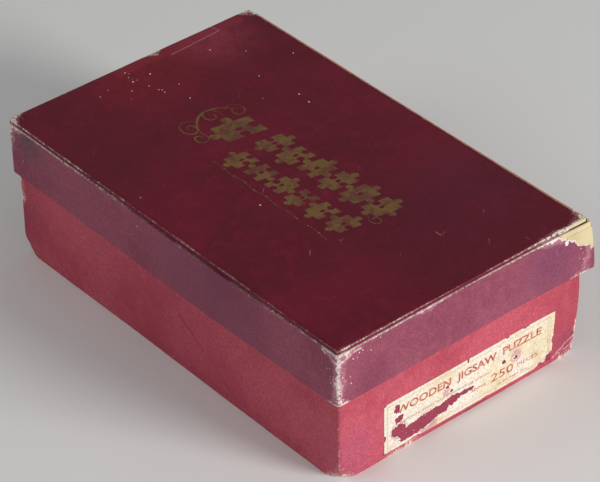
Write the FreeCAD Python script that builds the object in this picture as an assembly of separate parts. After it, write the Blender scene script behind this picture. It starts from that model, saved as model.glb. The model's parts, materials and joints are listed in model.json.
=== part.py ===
import FreeCAD, Part
import math
import os
import random
from FreeCAD import Placement, Rotation, Vector

# A boxed jigsaw puzzle: a paper-covered chipboard box with a lift-off lid, half full of
# interlocking plywood pieces that lie in a loose heap.
#
# Frame: millimetres, +Z up, origin at the middle of the underside of the tray.
# X runs along the long sides and +X is the labelled end. Y runs along the short ends.
#
# The box is described from the outside in. An "inset" is how far a surface lies inside
# the outside face of the lid, and it is the same on all four sides.

# ---------------------------------------------------------------- driving dimensions

# The closed box
lid_length = 230.0
lid_width = 143.0
closed_height = 74.0
lid_depth = 29.0            # how far the lid comes down over the tray

# Board and paper stock
tray_board_thickness = 1.4
apron_board_thickness = 1.2
top_board_thickness = 2.0
cover_paper = 0.2
stay_paper = 0.15
label_paper = 0.15

# How the stock is folded and fitted
corner_radius = 1.5         # outside radius of the upright corners of lid and tray
lid_clearance = 0.4         # between the lining of the lid and the tray, each side
rim_turn_in = 12.0          # tray paper folded down inside the rim
foot_turn_under = 14.0      # tray paper folded under the bottom
apron_turn_in = 9.0         # lid paper folded up inside the apron
stay_leg = 14.0             # reach of a gummed corner stay along each wall
stay_margin = 3.0           # bare board above and below a stay

# The label pasted on the tray's +X end
label_length = 99.5
label_height = 26.8
label_rise = 2.8            # from the foot of the tray to the label
label_shift = 5.5           # of the label's middle, towards +Y

# The puzzle
pieces_long = 18
pieces_wide = 14
piece_pitch = 20.0
piece_thickness = 4.0
saw_kerf = 0.4
knob_radius = 2.8
knob_rise = 3.5             # from the cut line to the centre of the knob
neck_radius = 1.1
cut_wander = 1.5            # how far a crossing of two cuts strays from the grid
cut_bow = 0.5               # how far a cut bows between a crossing and a knob

# The heap: bedded layers below, pieces dropped anywhere above, loose pieces on top
loose_columns = 4
loose_rows = 2
scattered_pieces = 40       # dropped anywhere over the bedded ones
seat_pitch = 1.5            # of the bedded pieces, in piece pitches
bedded_twist = 20.0         # most degrees that a bedded piece turns off square
free_twist = 45.0           # the same above them, which is any angle at all
wall_gap = 0.6              # between the heap and the tray's walls
max_slope = 0.12            # of a piece that leans on others
cell = 0.8                  # of the height map on which pieces come to rest
drop_tries = 24
slope_steps = 4
seed = 252

# ---------------------------------------------------------------- derived levels and insets

top_board_top = closed_height - cover_paper
tray_rim = top_board_top - top_board_thickness
apron_foot = closed_height - lid_depth
tray_floor = cover_paper + tray_board_thickness

apron_board_inset = cover_paper
apron_lining_inset = apron_board_inset + apron_board_thickness
lid_inside_inset = apron_lining_inset + cover_paper
tray_inset = lid_inside_inset + lid_clearance
tray_board_inset = tray_inset + cover_paper
tray_lining_inset = tray_board_inset + tray_board_thickness
tray_inside_inset = tray_lining_inset + cover_paper
board_corner_radius = corner_radius - cover_paper

heap_half_x = lid_length / 2 - tray_inside_inset - wall_gap
heap_half_y = lid_width / 2 - tray_inside_inset - wall_gap
lean_shift = piece_thickness * max_slope
foot_margin = lean_shift + cell * math.sqrt(0.5)
rest_gap = 2 * cell * max_slope


# ---------------------------------------------------------------- box building blocks

def block(inset, bottom, top, radius=0.0):
    """A slab of the lid's plan, drawn in by inset, with its upright edges rounded."""
    size_x = lid_length - 2 * inset
    size_y = lid_width - 2 * inset
    corner = Vector(-size_x / 2, -size_y / 2, bottom)
    solid = Part.makeBox(size_x, size_y, top - bottom, corner)
    if radius > 0:
        uprights = [edge for edge in solid.Edges if abs(edge.tangentAt(0).z) > 0.5]
        solid = solid.makeFillet(radius, uprights)
    return solid


def ring(outer_inset, inner_inset, bottom, top, outer_radius=0.0, inner_radius=0.0):
    """A closed band between two insets."""
    outer = block(outer_inset, bottom, top, outer_radius)
    return outer.cut(block(inner_inset, bottom - 1, top + 1, inner_radius))


def joined(shapes):
    """One clean solid from pieces that share faces."""
    return shapes[0].multiFuse(shapes[1:]).removeSplitter()


def corner_stays(board_inset, bottom, top):
    """Four gummed paper angles, let into the outside of a board's upright corners."""
    band = ring(board_inset, board_inset + stay_paper, bottom, top, board_corner_radius,
                board_corner_radius - stay_paper)
    reach_x = lid_length / 2 - board_inset - stay_leg
    reach_y = lid_width / 2 - board_inset - stay_leg
    stays = []
    for side_x, side_y in ((-1, -1), (1, -1), (1, 1), (-1, 1)):
        x_low = reach_x if side_x > 0 else -reach_x - 2 * stay_leg
        y_low = reach_y if side_y > 0 else -reach_y - 2 * stay_leg
        reach = Part.makeBox(2 * stay_leg, 2 * stay_leg, top - bottom,
                             Vector(x_low, y_low, bottom))
        stays.append(band.common(reach))
    return stays


# ---------------------------------------------------------------- the tray

def make_tray():
    """The lower half of the box: one folded board, its stays and its papers."""
    shell = block(tray_board_inset, cover_paper, tray_rim - cover_paper, board_corner_radius)
    board = shell.cut(block(tray_lining_inset, tray_floor, tray_rim))
    stays = corner_stays(tray_board_inset, tray_floor + stay_margin,
                         tray_rim - cover_paper - stay_margin)
    under_lap = tray_inset + foot_turn_under
    wrap = joined([
        ring(tray_inset, tray_board_inset, 0, tray_rim, corner_radius, board_corner_radius),
        ring(tray_inset, tray_inside_inset, tray_rim - cover_paper, tray_rim, corner_radius),
        ring(tray_lining_inset, tray_inside_inset, tray_rim - rim_turn_in, tray_rim),
        ring(tray_inset, under_lap, 0, cover_paper, corner_radius),
    ])
    nodes = {
        "tray_board": board.cut(Part.makeCompound(stays)),
        "tray_wrap": wrap,
        "tray_bottom_paper": block(under_lap, 0, cover_paper),
    }
    for number, stay in enumerate(stays, 1):
        nodes[f"tray_corner_stay_{number}"] = stay
    return nodes


def make_label():
    """A paper label on the tray's +X end."""
    corner = Vector(lid_length / 2 - tray_inset, label_shift - label_length / 2, label_rise)
    return Part.makeBox(label_paper, label_length, label_height, corner)


# ---------------------------------------------------------------- the lid

def make_lid():
    """A stiff top panel glued on a folded apron, each with its own cover paper."""
    apron = ring(apron_board_inset, apron_lining_inset, apron_foot + cover_paper, tray_rim,
                 board_corner_radius)
    stays = corner_stays(apron_board_inset, apron_foot + stay_margin, tray_rim - stay_margin)
    apron_wrap = joined([
        ring(0, apron_board_inset, apron_foot, tray_rim, corner_radius, board_corner_radius),
        ring(0, lid_inside_inset, apron_foot, apron_foot + cover_paper, corner_radius),
        ring(apron_lining_inset, lid_inside_inset, apron_foot, apron_foot + apron_turn_in),
    ])
    top_sheet = block(0, tray_rim, closed_height, corner_radius)
    top_board = block(cover_paper, tray_rim, top_board_top, board_corner_radius)
    nodes = {
        "lid_top_board": top_board,
        "lid_top_sheet": top_sheet.cut(top_board),
        "lid_apron_board": apron.cut(Part.makeCompound(stays)),
        "lid_apron_wrap": apron_wrap,
    }
    for number, stay in enumerate(stays, 1):
        nodes[f"lid_corner_stay_{number}"] = stay
    return nodes


# ---------------------------------------------------------------- the cut puzzle

class Cut:
    """A saw cut between two crossings: straight on the picture's border, else with a knob."""

    def __init__(self, start, end, on_border, chance):
        self.along = (end - start).normalize()
        self.left = Vector(-self.along.y, self.along.x, 0)
        self.start = start
        self.end = end
        self.on_border = on_border
        self.hand = chance.choice((-1, 1))
        self.middle = (end - start).Length * chance.uniform(0.44, 0.56)
        self.radius = knob_radius * chance.uniform(0.93, 1.07)
        self.bows = [cut_bow * chance.uniform(-1, 1) for _ in range(2)]

    def half_kerf(self):
        return 0 if self.on_border else saw_kerf / 2

    def edges(self, first, last, side):
        """The wall that the saw leaves on one side (1 left, -1 right), from first to last."""
        if self.on_border:
            return [Part.LineSegment(first, last).toShape()]
        shift = side * self.hand * saw_kerf / 2
        rise = self.left * self.hand
        knob = self.start + self.along * self.middle + rise * knob_rise
        spread = math.sqrt((self.radius + neck_radius) ** 2 - (knob_rise - neck_radius) ** 2)
        feet = []
        touches = []
        necks = []
        for way in (-1, 1):
            neck = knob + self.along * way * spread - rise * (knob_rise - neck_radius)
            inward = (neck - knob).normalize()
            foot = neck - rise * (neck_radius - shift)
            touch = knob + inward * (self.radius + shift)
            halfway = (rise * -1 - inward).normalize()
            middle = neck + halfway * (neck_radius - shift)
            feet.append(foot)
            touches.append(touch)
            necks.append(Part.Arc(foot, middle, touch).toShape())
        tip = knob + rise * (self.radius + shift)
        return [
            self.bowed(first, feet[0], self.bows[0]),
            necks[0],
            Part.Arc(touches[0], tip, touches[1]).toShape(),
            necks[1],
            self.bowed(feet[1], last, self.bows[1]),
        ]

    def bowed(self, start, end, bow):
        middle = (start + end) * 0.5 + self.left * bow
        return Part.Arc(start, middle, end).toShape()


def corner_of(crossing, way_one, kerf_one, way_two, kerf_two):
    """A piece's corner, half a kerf inside each of the two cuts that leave a crossing."""
    opening = abs(way_one.cross(way_two).z)
    return crossing + (way_one * kerf_two + way_two * kerf_one) * (1 / opening)


def piece_face(bottom, right, top, left):
    """The plan of the piece that lies between four cuts."""
    sides = (bottom, right, top, left)
    kerf_bottom, kerf_right, kerf_top, kerf_left = [side.half_kerf() for side in sides]
    low_left = corner_of(bottom.start, bottom.along, kerf_bottom, left.along, kerf_left)
    low_right = corner_of(bottom.end, bottom.along * -1, kerf_bottom, right.along, kerf_right)
    high_right = corner_of(top.end, top.along * -1, kerf_top, right.along * -1, kerf_right)
    high_left = corner_of(top.start, top.along, kerf_top, left.along * -1, kerf_left)
    edges = (bottom.edges(low_left, low_right, 1) + right.edges(low_right, high_right, 1)
             + top.edges(high_left, high_right, -1) + left.edges(low_left, high_left, -1))
    return Part.Face(Part.Wire(Part.__sortEdges__(edges)))


def cut_pieces(chance):
    """Every piece of the puzzle as (row, column, solid, outline), each about its own middle."""
    def crossing(column, row):
        stray_x = cut_wander * chance.uniform(-1, 1) if 0 < column < pieces_long else 0
        stray_y = cut_wander * chance.uniform(-1, 1) if 0 < row < pieces_wide else 0
        return Vector(column * piece_pitch + stray_x, row * piece_pitch + stray_y, 0)

    crossings = {(column, row): crossing(column, row)
                 for row in range(pieces_wide + 1) for column in range(pieces_long + 1)}
    lengthwise = {(column, row): Cut(crossings[column, row], crossings[column + 1, row],
                                     row in (0, pieces_wide), chance)
                  for row in range(pieces_wide + 1) for column in range(pieces_long)}
    crosswise = {(column, row): Cut(crossings[column, row], crossings[column, row + 1],
                                    column in (0, pieces_long), chance)
                 for row in range(pieces_wide) for column in range(pieces_long + 1)}

    pieces = []
    for row in range(pieces_wide):
        for column in range(pieces_long):
            face = piece_face(lengthwise[column, row], crosswise[column + 1, row],
                              lengthwise[column, row + 1], crosswise[column, row])
            face.translate(face.CenterOfMass * -1)
            outline = face.OuterWire.discretize(Distance=knob_radius / 2)
            solid = face.extrude(Vector(0, 0, piece_thickness))
            pieces.append((row, column, solid, outline))
    return pieces


# ---------------------------------------------------------------- the heap

def convex_sides(points):
    """The sides of the points' convex hull as (normal x, normal y, reach from the origin)."""
    ordered = sorted({(round(point[0], 3), round(point[1], 3)) for point in points})

    def half_hull(sequence):
        chain = []
        for point in sequence:
            while len(chain) > 1:
                (ax, ay), (bx, by) = chain[-2:]
                if (bx - ax) * (point[1] - ay) > (by - ay) * (point[0] - ax):
                    break
                chain.pop()
            chain.append(point)
        return chain[:-1]

    corners = half_hull(ordered) + half_hull(ordered[::-1])
    sides = []
    for (ax, ay), (bx, by) in zip(corners, corners[1:] + corners[:1]):
        length = math.hypot(bx - ax, by - ay)
        normal_x = (by - ay) / length
        normal_y = (ax - bx) / length
        sides.append((normal_x, normal_y, normal_x * ax + normal_y * ay))
    return sides


class HeightMap:
    """How high the heap stands over each small square of the tray's floor."""

    def __init__(self):
        self.count_x = int(2 * heap_half_x / cell)
        self.count_y = int(2 * heap_half_y / cell)
        self.tops = [[tray_floor] * self.count_y for _ in range(self.count_x)]

    def columns(self, sides, x, y, radius):
        """The squares under a convex outline at x, y, as (index, first, last, offset x)."""
        first = max(0, int((x - radius + heap_half_x) / cell))
        last = min(self.count_x, int((x + radius + heap_half_x) / cell) + 1)
        found = []
        for index in range(first, last):
            offset = (index + 0.5) * cell - heap_half_x - x
            low = -radius
            high = radius
            for normal_x, normal_y, reach in sides:
                room = reach + foot_margin - normal_x * offset
                if normal_y > 1e-6:
                    high = min(high, room / normal_y)
                elif normal_y < -1e-6:
                    low = max(low, room / normal_y)
                elif room < 0:
                    high = low
            start = max(0, math.ceil((low + y + heap_half_y) / cell - 0.5))
            stop = min(self.count_y, math.floor((high + y + heap_half_y) / cell + 0.5))
            if stop > start:
                found.append((index, start, stop, offset))
        return found

    def highest(self, columns):
        return max(max(self.tops[index][start:stop]) for index, start, stop, _ in columns)

    def rest(self, columns, y):
        """The lowest plane over the heap: its two slopes and its height at the outline's origin."""
        bumps = [(offset, (place + 0.5) * cell - heap_half_y - y, self.tops[index][place])
                 for index, start, stop, offset in columns for place in range(start, stop)]
        slopes = [max_slope * step / slope_steps for step in range(-slope_steps, slope_steps + 1)]
        best = None
        for slope_x in slopes:
            for slope_y in slopes:
                height = max(top - slope_x * dx - slope_y * dy for dx, dy, top in bumps)
                if best is None or height < best[2]:
                    best = (slope_x, slope_y, height)
        return best

    def cover(self, columns, y, slope_x, slope_y, height):
        """Raise the map to the top of a piece that rests on the given plane."""
        upright = piece_thickness * math.sqrt(1 + slope_x ** 2 + slope_y ** 2)
        for index, start, stop, offset in columns:
            for place in range(start, stop):
                dy = (place + 0.5) * cell - heap_half_y - y
                self.tops[index][place] = height + slope_x * offset + slope_y * dy + upright


def drop_piece(heap, outline, area, twist, chance):
    """Where a piece comes to rest: the lowest of several random tries about an area."""
    low_x, high_x, low_y, high_y = area
    best = None
    for _ in range(drop_tries):
        turn = 90 * chance.randrange(4) + chance.uniform(-twist, twist)
        turned = [Rotation(Vector(0, 0, 1), turn).multVec(point) for point in outline]
        left = min(point.x for point in turned) - foot_margin
        right = max(point.x for point in turned) + foot_margin
        near = min(point.y for point in turned) - foot_margin
        far = max(point.y for point in turned) + foot_margin
        x = chance.uniform(low_x - left, high_x - right)
        y = chance.uniform(low_y - near, high_y - far)
        x = min(max(x, -heap_half_x - left), heap_half_x - right)
        y = min(max(y, -heap_half_y - near), heap_half_y - far)
        sides = convex_sides(turned)
        columns = heap.columns(sides, x, y, max(-left, right, -near, far))
        level = heap.highest(columns)
        if best is None or level < best[0]:
            best = (level, x, y, turn, columns)
    _, x, y, turn, columns = best
    slope_x, slope_y, height = heap.rest(columns, y)
    height += rest_gap
    heap.cover(columns, y, slope_x, slope_y, height)
    lean = Rotation(Vector(0, 0, 1), Vector(-slope_x, -slope_y, 1))
    return Placement(Vector(x, y, height), lean * Rotation(Vector(0, 0, 1), turn))


def floor_areas(columns, rows):
    """The tray's floor divided into equal areas, as (low x, high x, low y, high y)."""
    step_x = 2 * heap_half_x / columns
    step_y = 2 * heap_half_y / rows
    return [(-heap_half_x + step_x * column, -heap_half_x + step_x * (column + 1),
             -heap_half_y + step_y * row, -heap_half_y + step_y * (row + 1))
            for row in range(rows) for column in range(columns)]


def make_heap():
    """The pieces as they lie in the tray: half rows of the picture, and the loose top pieces."""
    chance = random.Random(seed)
    pieces = cut_pieces(chance)
    chance.shuffle(pieces)
    loose_areas = floor_areas(loose_columns, loose_rows)
    seat = seat_pitch * piece_pitch
    seats = floor_areas(int(2 * heap_half_x / seat), int(2 * heap_half_y / seat))
    whole_floor = floor_areas(1, 1)[0]
    fixed = pieces[len(loose_areas):]
    bedded_count = len(fixed) - scattered_pieces
    heap = HeightMap()

    rows = {}
    for number, (row, column, solid, outline) in enumerate(fixed):
        if number % len(seats) == 0:
            chance.shuffle(seats)
        if number < bedded_count:
            area = seats[number % len(seats)]
            solid.Placement = drop_piece(heap, outline, area, bedded_twist, chance)
        else:
            solid.Placement = drop_piece(heap, outline, whole_floor, free_twist, chance)
        half = "left" if column < pieces_long // 2 else "right"
        rows.setdefault(f"puzzle_row_{row + 1:02d}_{half}", []).append(solid)
    nodes = {name: Part.makeCompound(solids) for name, solids in sorted(rows.items())}

    for number, area in enumerate(loose_areas):
        _, _, solid, outline = pieces[number]
        solid.Placement = drop_piece(heap, outline, area, free_twist, chance)
        nodes[f"loose_piece_{number + 1}"] = solid
    return nodes


# ---------------------------------------------------------------- write the parts

def main():
    os.makedirs("parts", exist_ok=True)
    nodes = {}
    nodes.update(make_tray())
    nodes["end_label"] = make_label()
    nodes.update(make_lid())
    nodes.update(make_heap())
    for name, shape in nodes.items():
        shape.exportStep(f"parts/{name}.step")
    heap_top = max(shape.BoundBox.ZMax for name, shape in nodes.items()
                   if name.startswith(("puzzle", "loose")))
    print(f"{len(nodes)} nodes, heap top {heap_top:.1f} mm, rim {tray_rim:.1f} mm")


main()
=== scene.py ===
import json
import math
import random

import bmesh
import bpy
from mathutils import Matrix, Vector, noise


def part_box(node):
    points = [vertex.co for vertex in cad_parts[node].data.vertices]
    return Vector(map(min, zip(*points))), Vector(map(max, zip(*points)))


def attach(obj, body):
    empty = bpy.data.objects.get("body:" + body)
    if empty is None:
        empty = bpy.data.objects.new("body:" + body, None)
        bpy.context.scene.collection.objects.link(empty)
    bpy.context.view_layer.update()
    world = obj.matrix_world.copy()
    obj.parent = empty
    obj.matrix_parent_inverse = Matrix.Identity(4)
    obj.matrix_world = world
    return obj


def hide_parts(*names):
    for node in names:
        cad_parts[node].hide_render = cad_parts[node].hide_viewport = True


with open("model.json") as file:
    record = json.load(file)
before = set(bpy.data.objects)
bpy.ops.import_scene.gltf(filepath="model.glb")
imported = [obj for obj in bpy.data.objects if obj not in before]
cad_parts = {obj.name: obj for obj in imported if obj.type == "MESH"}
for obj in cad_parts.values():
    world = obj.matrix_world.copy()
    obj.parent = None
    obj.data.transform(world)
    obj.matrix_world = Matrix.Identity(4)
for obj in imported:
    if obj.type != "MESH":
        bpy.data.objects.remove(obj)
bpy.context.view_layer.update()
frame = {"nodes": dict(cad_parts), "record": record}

bpy.context.scene.view_settings.view_transform = "Standard"

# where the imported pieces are
trayLow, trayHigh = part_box("tray_wrap")
apronLow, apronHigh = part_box("lid_apron_wrap")
panelLow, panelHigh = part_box("lid_top_sheet")
labelLow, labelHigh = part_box("end_label")
trayBoardLow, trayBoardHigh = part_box("tray_board")
apronBoardLow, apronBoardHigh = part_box("lid_apron_board")
panelBoardLow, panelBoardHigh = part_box("lid_top_board")

paperThickness = 0.0002
boardGap = 0.00025  # keeps a warped board just behind its paper
print("frame loaded")


# small helpers for mesh work

def clearSelection():
    if bpy.context.object and bpy.context.object.mode != "OBJECT":
        bpy.ops.object.mode_set(mode="OBJECT")
    bpy.ops.object.select_all(action="DESELECT")


def makeActive(piece):
    clearSelection()
    piece.select_set(True)
    bpy.context.view_layer.objects.active = piece


def startEdit(piece, mode="FACE"):
    makeActive(piece)
    bpy.ops.object.mode_set(mode="EDIT")
    bpy.ops.mesh.select_mode(type=mode)
    bpy.ops.mesh.select_all(action="DESELECT")


def stopEdit():
    bpy.ops.object.mode_set(mode="OBJECT")


def pickFaces(piece, test):
    bpy.ops.mesh.select_mode(type="FACE")
    bpy.ops.mesh.select_all(action="DESELECT")
    mesh = bmesh.from_edit_mesh(piece.data)
    for face in mesh.faces:
        face.select_set(bool(test(face.calc_center_median(), face.normal)))
    bmesh.update_edit_mesh(piece.data)


def pickEdges(piece, test):
    bpy.ops.mesh.select_mode(type="EDGE")
    bpy.ops.mesh.select_all(action="DESELECT")
    mesh = bmesh.from_edit_mesh(piece.data)
    for edge in mesh.edges:
        edge.select_set(bool(test(edge.verts[0].co, edge.verts[1].co)))
    mesh.select_flush_mode()
    bmesh.update_edit_mesh(piece.data)


def near(value, target, slack=0.00002):
    return abs(value - target) < slack


def addBlock(name, low, high):
    clearSelection()
    bpy.ops.mesh.primitive_cube_add(size=1, location=(low + high) / 2, scale=high - low)
    piece = bpy.context.object
    piece.name = name
    piece.data.name = name
    bpy.ops.object.transform_apply(location=True, rotation=True, scale=True)
    return piece


def sliceAlong(axis, low, high, spacing):
    # evenly spaced bisecting planes, so that a wall can bow and dent
    count = max(1, round((high - low) / spacing))
    normal = Vector((0, 0, 0))
    normal[axis] = 1
    for step in range(1, count):
        point = Vector((0, 0, 0))
        point[axis] = low + (high - low) * step / count
        bpy.ops.mesh.select_all(action="SELECT")
        bpy.ops.mesh.bisect(plane_co=point, plane_no=normal)


def sliceBox(low, high, spacing):
    for axis in range(3):
        sliceAlong(axis, low[axis], high[axis], spacing)


def roundEdges(piece, test, offset, segments):
    pickEdges(piece, test)
    bpy.ops.mesh.bevel(offset=offset, offset_type="OFFSET", segments=segments, affect="EDGES")


def addModifier(piece, kind, **settings):
    makeActive(piece)
    modifier = piece.modifiers.new(kind.title(), kind)
    for key, value in settings.items():
        setattr(modifier, key, value)
    bpy.ops.object.modifier_apply(modifier=modifier.name)


def smooth(piece, degrees=35):
    makeActive(piece)
    bpy.ops.object.shade_smooth_by_angle(angle=math.radians(degrees))


def foldInwards(width):
    # the selected flat face becomes a ring of this width round a smaller face
    mesh = bmesh.from_edit_mesh(bpy.context.object.data)
    points = [vertex.co for vertex in mesh.verts if vertex.select]
    halfX = max(point.x for point in points)
    halfY = max(point.y for point in points)
    bpy.ops.mesh.extrude_region_move()
    bpy.ops.transform.resize(value=((halfX - width) / halfX, (halfY - width) / halfY, 1),
                             center_override=(0, 0, 0))


def isUpright(a, b):
    return near(a.x, b.x) and near(a.y, b.y) and abs(a.z - b.z) > 0.0005


def thicken(piece, thickness):
    addModifier(piece, "SOLIDIFY", thickness=thickness, offset=-1, use_even_offset=False)


def storeValue(piece, name, rule):
    attribute = piece.data.attributes.new(name, "FLOAT", "POINT")
    for vertex in piece.data.vertices:
        attribute.data[vertex.index].value = rule(vertex.co)


def ragged(point, size, shift=0.0):
    return noise.fractal(Vector(point) / size + Vector((shift, shift, shift)), 0.9, 2.1, 3)


def finishPiece(piece, body, nodes, material):
    piece.data.materials.clear()
    piece.data.materials.append(material)
    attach(piece, body)
    if nodes:
        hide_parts(*nodes)


# small helpers for materials

def isSocket(value):
    return isinstance(value, bpy.types.NodeSocket)


def setInput(tree, socket, value):
    if isSocket(value):
        tree.links.new(value, socket)
    else:
        socket.default_value = value


def addNode(tree, kind, inputs=None, **settings):
    node = tree.nodes.new("ShaderNode" + kind)
    for key, value in settings.items():
        setattr(node, key, value)
    for key, value in (inputs or {}).items():
        setInput(tree, node.inputs[key], value)
    return node


def calc(tree, operation, *values):
    node = addNode(tree, "Math", operation=operation)
    for socket, value in zip(node.inputs, values):
        setInput(tree, socket, value)
    return node.outputs[0]


def ramp(tree, value, low, high, first=0.0, last=1.0):
    node = addNode(tree, "MapRange", {"Value": value, "From Min": low, "From Max": high,
                                      "To Min": first, "To Max": last},
                   interpolation_type="SMOOTHSTEP")
    return node.outputs["Result"]


def blendColour(tree, factor, first, second, how="MIX"):
    node = addNode(tree, "Mix", data_type="RGBA", blend_type=how)
    setInput(tree, node.inputs[0], factor)
    setInput(tree, node.inputs[6], first)
    setInput(tree, node.inputs[7], second)
    return node.outputs[2]


def noiseValue(tree, place, size, detail=3.0, roughness=0.55):
    node = addNode(tree, "TexNoise", {"Vector": place, "Scale": 1 / size, "Detail": detail,
                                      "Roughness": roughness})
    return node.outputs["Fac"]


def colour(red, green, blue):
    # a colour given as it looks on a screen, 0 to 255
    def straight(part):
        part = part / 255
        return part / 12.92 if part <= 0.04045 else ((part + 0.055) / 1.055) ** 2.4
    return (straight(red), straight(green), straight(blue), 1)


def startGroup(name, inputs, outputs):
    tree = bpy.data.node_groups.new(name, "ShaderNodeTree")
    for label, kind, value in inputs:
        socket = tree.interface.new_socket(label, in_out="INPUT", socket_type="NodeSocket" + kind)
        if value is not None:
            socket.default_value = value
    for label, kind in outputs:
        tree.interface.new_socket(label, in_out="OUTPUT", socket_type="NodeSocket" + kind)
    return tree, tree.nodes.new("NodeGroupInput").outputs, tree.nodes.new("NodeGroupOutput").inputs


def useGroup(tree, group, **inputs):
    node = tree.nodes.new("ShaderNodeGroup")
    node.node_tree = group
    for key, value in inputs.items():
        setInput(tree, node.inputs[key], value)
    return node.outputs


def startMaterial(name):
    material = bpy.data.materials.new(name)
    material.use_nodes = True
    tree = material.node_tree
    shader = tree.nodes["Principled BSDF"]
    place = addNode(tree, "TexCoord").outputs["Object"]
    return material, tree, shader, place


# effects that several finishes share

def makeEdgeGroup():
    # distances, in metres, from the edges of an upright box centred on the z axis
    tree, given, put = startGroup(
        "edgeDistance",
        [("place", "Vector", None), ("halfX", "Float", 0.1), ("halfY", "Float", 0.1),
         ("foot", "Float", 0.0), ("top", "Float", 0.1)],
        [("upright", "Float"), ("rim", "Float"), ("base", "Float"), ("crest", "Float")])
    axes = addNode(tree, "SeparateXYZ", {"Vector": given["place"]}).outputs
    fromX = calc(tree, "ABSOLUTE", calc(tree, "SUBTRACT", given["halfX"],
                                        calc(tree, "ABSOLUTE", axes["X"])))
    fromY = calc(tree, "ABSOLUTE", calc(tree, "SUBTRACT", given["halfY"],
                                        calc(tree, "ABSOLUTE", axes["Y"])))
    tree.links.new(calc(tree, "MAXIMUM", fromX, fromY), put["upright"])
    rim = calc(tree, "ABSOLUTE", calc(tree, "SUBTRACT", given["top"], axes["Z"]))
    tree.links.new(rim, put["rim"])
    tree.links.new(calc(tree, "MAXIMUM", calc(tree, "MINIMUM", fromX, fromY), rim), put["crest"])
    foot = calc(tree, "ABSOLUTE", calc(tree, "SUBTRACT", axes["Z"], given["foot"]))
    inward = calc(tree, "SUBTRACT", calc(tree, "MINIMUM", fromX, fromY), 0.0025)
    tree.links.new(calc(tree, "MAXIMUM", foot, inward), put["base"])
    return tree


def makeFrayGroup():
    # paper rubbed away along an edge: ragged, and wider in some stretches than in others
    tree, given, put = startGroup(
        "frayedEdge",
        [("place", "Vector", None), ("distance", "Float", 0.0), ("reach", "Float", 0.001),
         ("patchiness", "Float", 1.0), ("ragged", "Float", 0.0006)],
        [("mask", "Float"), ("rubbed", "Float")])
    coarse = noiseValue(tree, given["place"], 0.016, 2.0)
    fine = noiseValue(tree, given["place"], 0.0011, 3.0, 0.65)
    swing = calc(tree, "MULTIPLY", calc(tree, "SUBTRACT", coarse, 0.5), given["patchiness"])
    reach = calc(tree, "MULTIPLY", given["reach"], calc(tree, "MULTIPLY_ADD", swing, 4.0, 1.0))
    edge = calc(tree, "MULTIPLY_ADD", calc(tree, "SUBTRACT", fine, 0.5), given["ragged"],
                given["distance"])
    share = calc(tree, "DIVIDE", edge, calc(tree, "MAXIMUM", reach, 0.00001))
    broken = noiseValue(tree, given["place"], 0.0016, 4.0, 0.7)
    share = calc(tree, "MULTIPLY_ADD", calc(tree, "SUBTRACT", broken, 0.44), 5.5, share)
    some = ramp(tree, given["reach"], 0.00004, 0.0002)
    tree.links.new(calc(tree, "MULTIPLY", some, ramp(tree, share, 1.0, 0.6)), put["mask"])
    tree.links.new(calc(tree, "MULTIPLY", some, ramp(tree, share, 3.4, 0.6)), put["rubbed"])
    return tree


def makeSpotGroup():
    # 1 at a place, falling to 0 at a radius
    tree, given, put = startGroup(
        "nearSpot", [("place", "Vector", None), ("centre", "Vector", None), ("radius", "Float", 0.01)],
        [("mask", "Float")])
    apart = addNode(tree, "VectorMath", operation="DISTANCE")
    tree.links.new(given["place"], apart.inputs[0])
    tree.links.new(given["centre"], apart.inputs[1])
    tree.links.new(ramp(tree, calc(tree, "DIVIDE", apart.outputs["Value"], given["radius"]), 1, 0),
                   put["mask"])
    return tree


def makeLineGroup():
    # 1 along a slightly wandering line between two places, falling to 0 at a width
    tree, given, put = startGroup(
        "nearLine", [("place", "Vector", None), ("start", "Vector", None), ("end", "Vector", None),
                     ("width", "Float", 0.001), ("wander", "Float", 0.001)], [("mask", "Float")])

    def combine(operation, first, second, output="Vector"):
        return addNode(tree, "VectorMath", {0: first, 1: second}, operation=operation).outputs[output]

    drift = addNode(tree, "TexNoise", {"Vector": given["place"], "Scale": 260.0, "Detail": 3.0})
    shift = addNode(tree, "VectorMath", {0: combine("SUBTRACT", drift.outputs["Color"], (0.5, 0.5, 0.5)),
                                         "Scale": given["wander"]}, operation="SCALE").outputs[0]
    point = combine("ADD", given["place"], shift)
    run = combine("SUBTRACT", given["end"], given["start"])
    reach = combine("SUBTRACT", point, given["start"])
    share = calc(tree, "DIVIDE", combine("DOT_PRODUCT", reach, run, "Value"),
                 combine("DOT_PRODUCT", run, run, "Value"))
    share = calc(tree, "MINIMUM", calc(tree, "MAXIMUM", share, 0.0), 1.0)
    nearest = addNode(tree, "VectorMath", {0: run, "Scale": share}, operation="SCALE").outputs[0]
    apart = combine("DISTANCE", reach, nearest, "Value")
    tree.links.new(ramp(tree, calc(tree, "DIVIDE", apart, given["width"]), 1.0, 0.4), put["mask"])
    return tree


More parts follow.
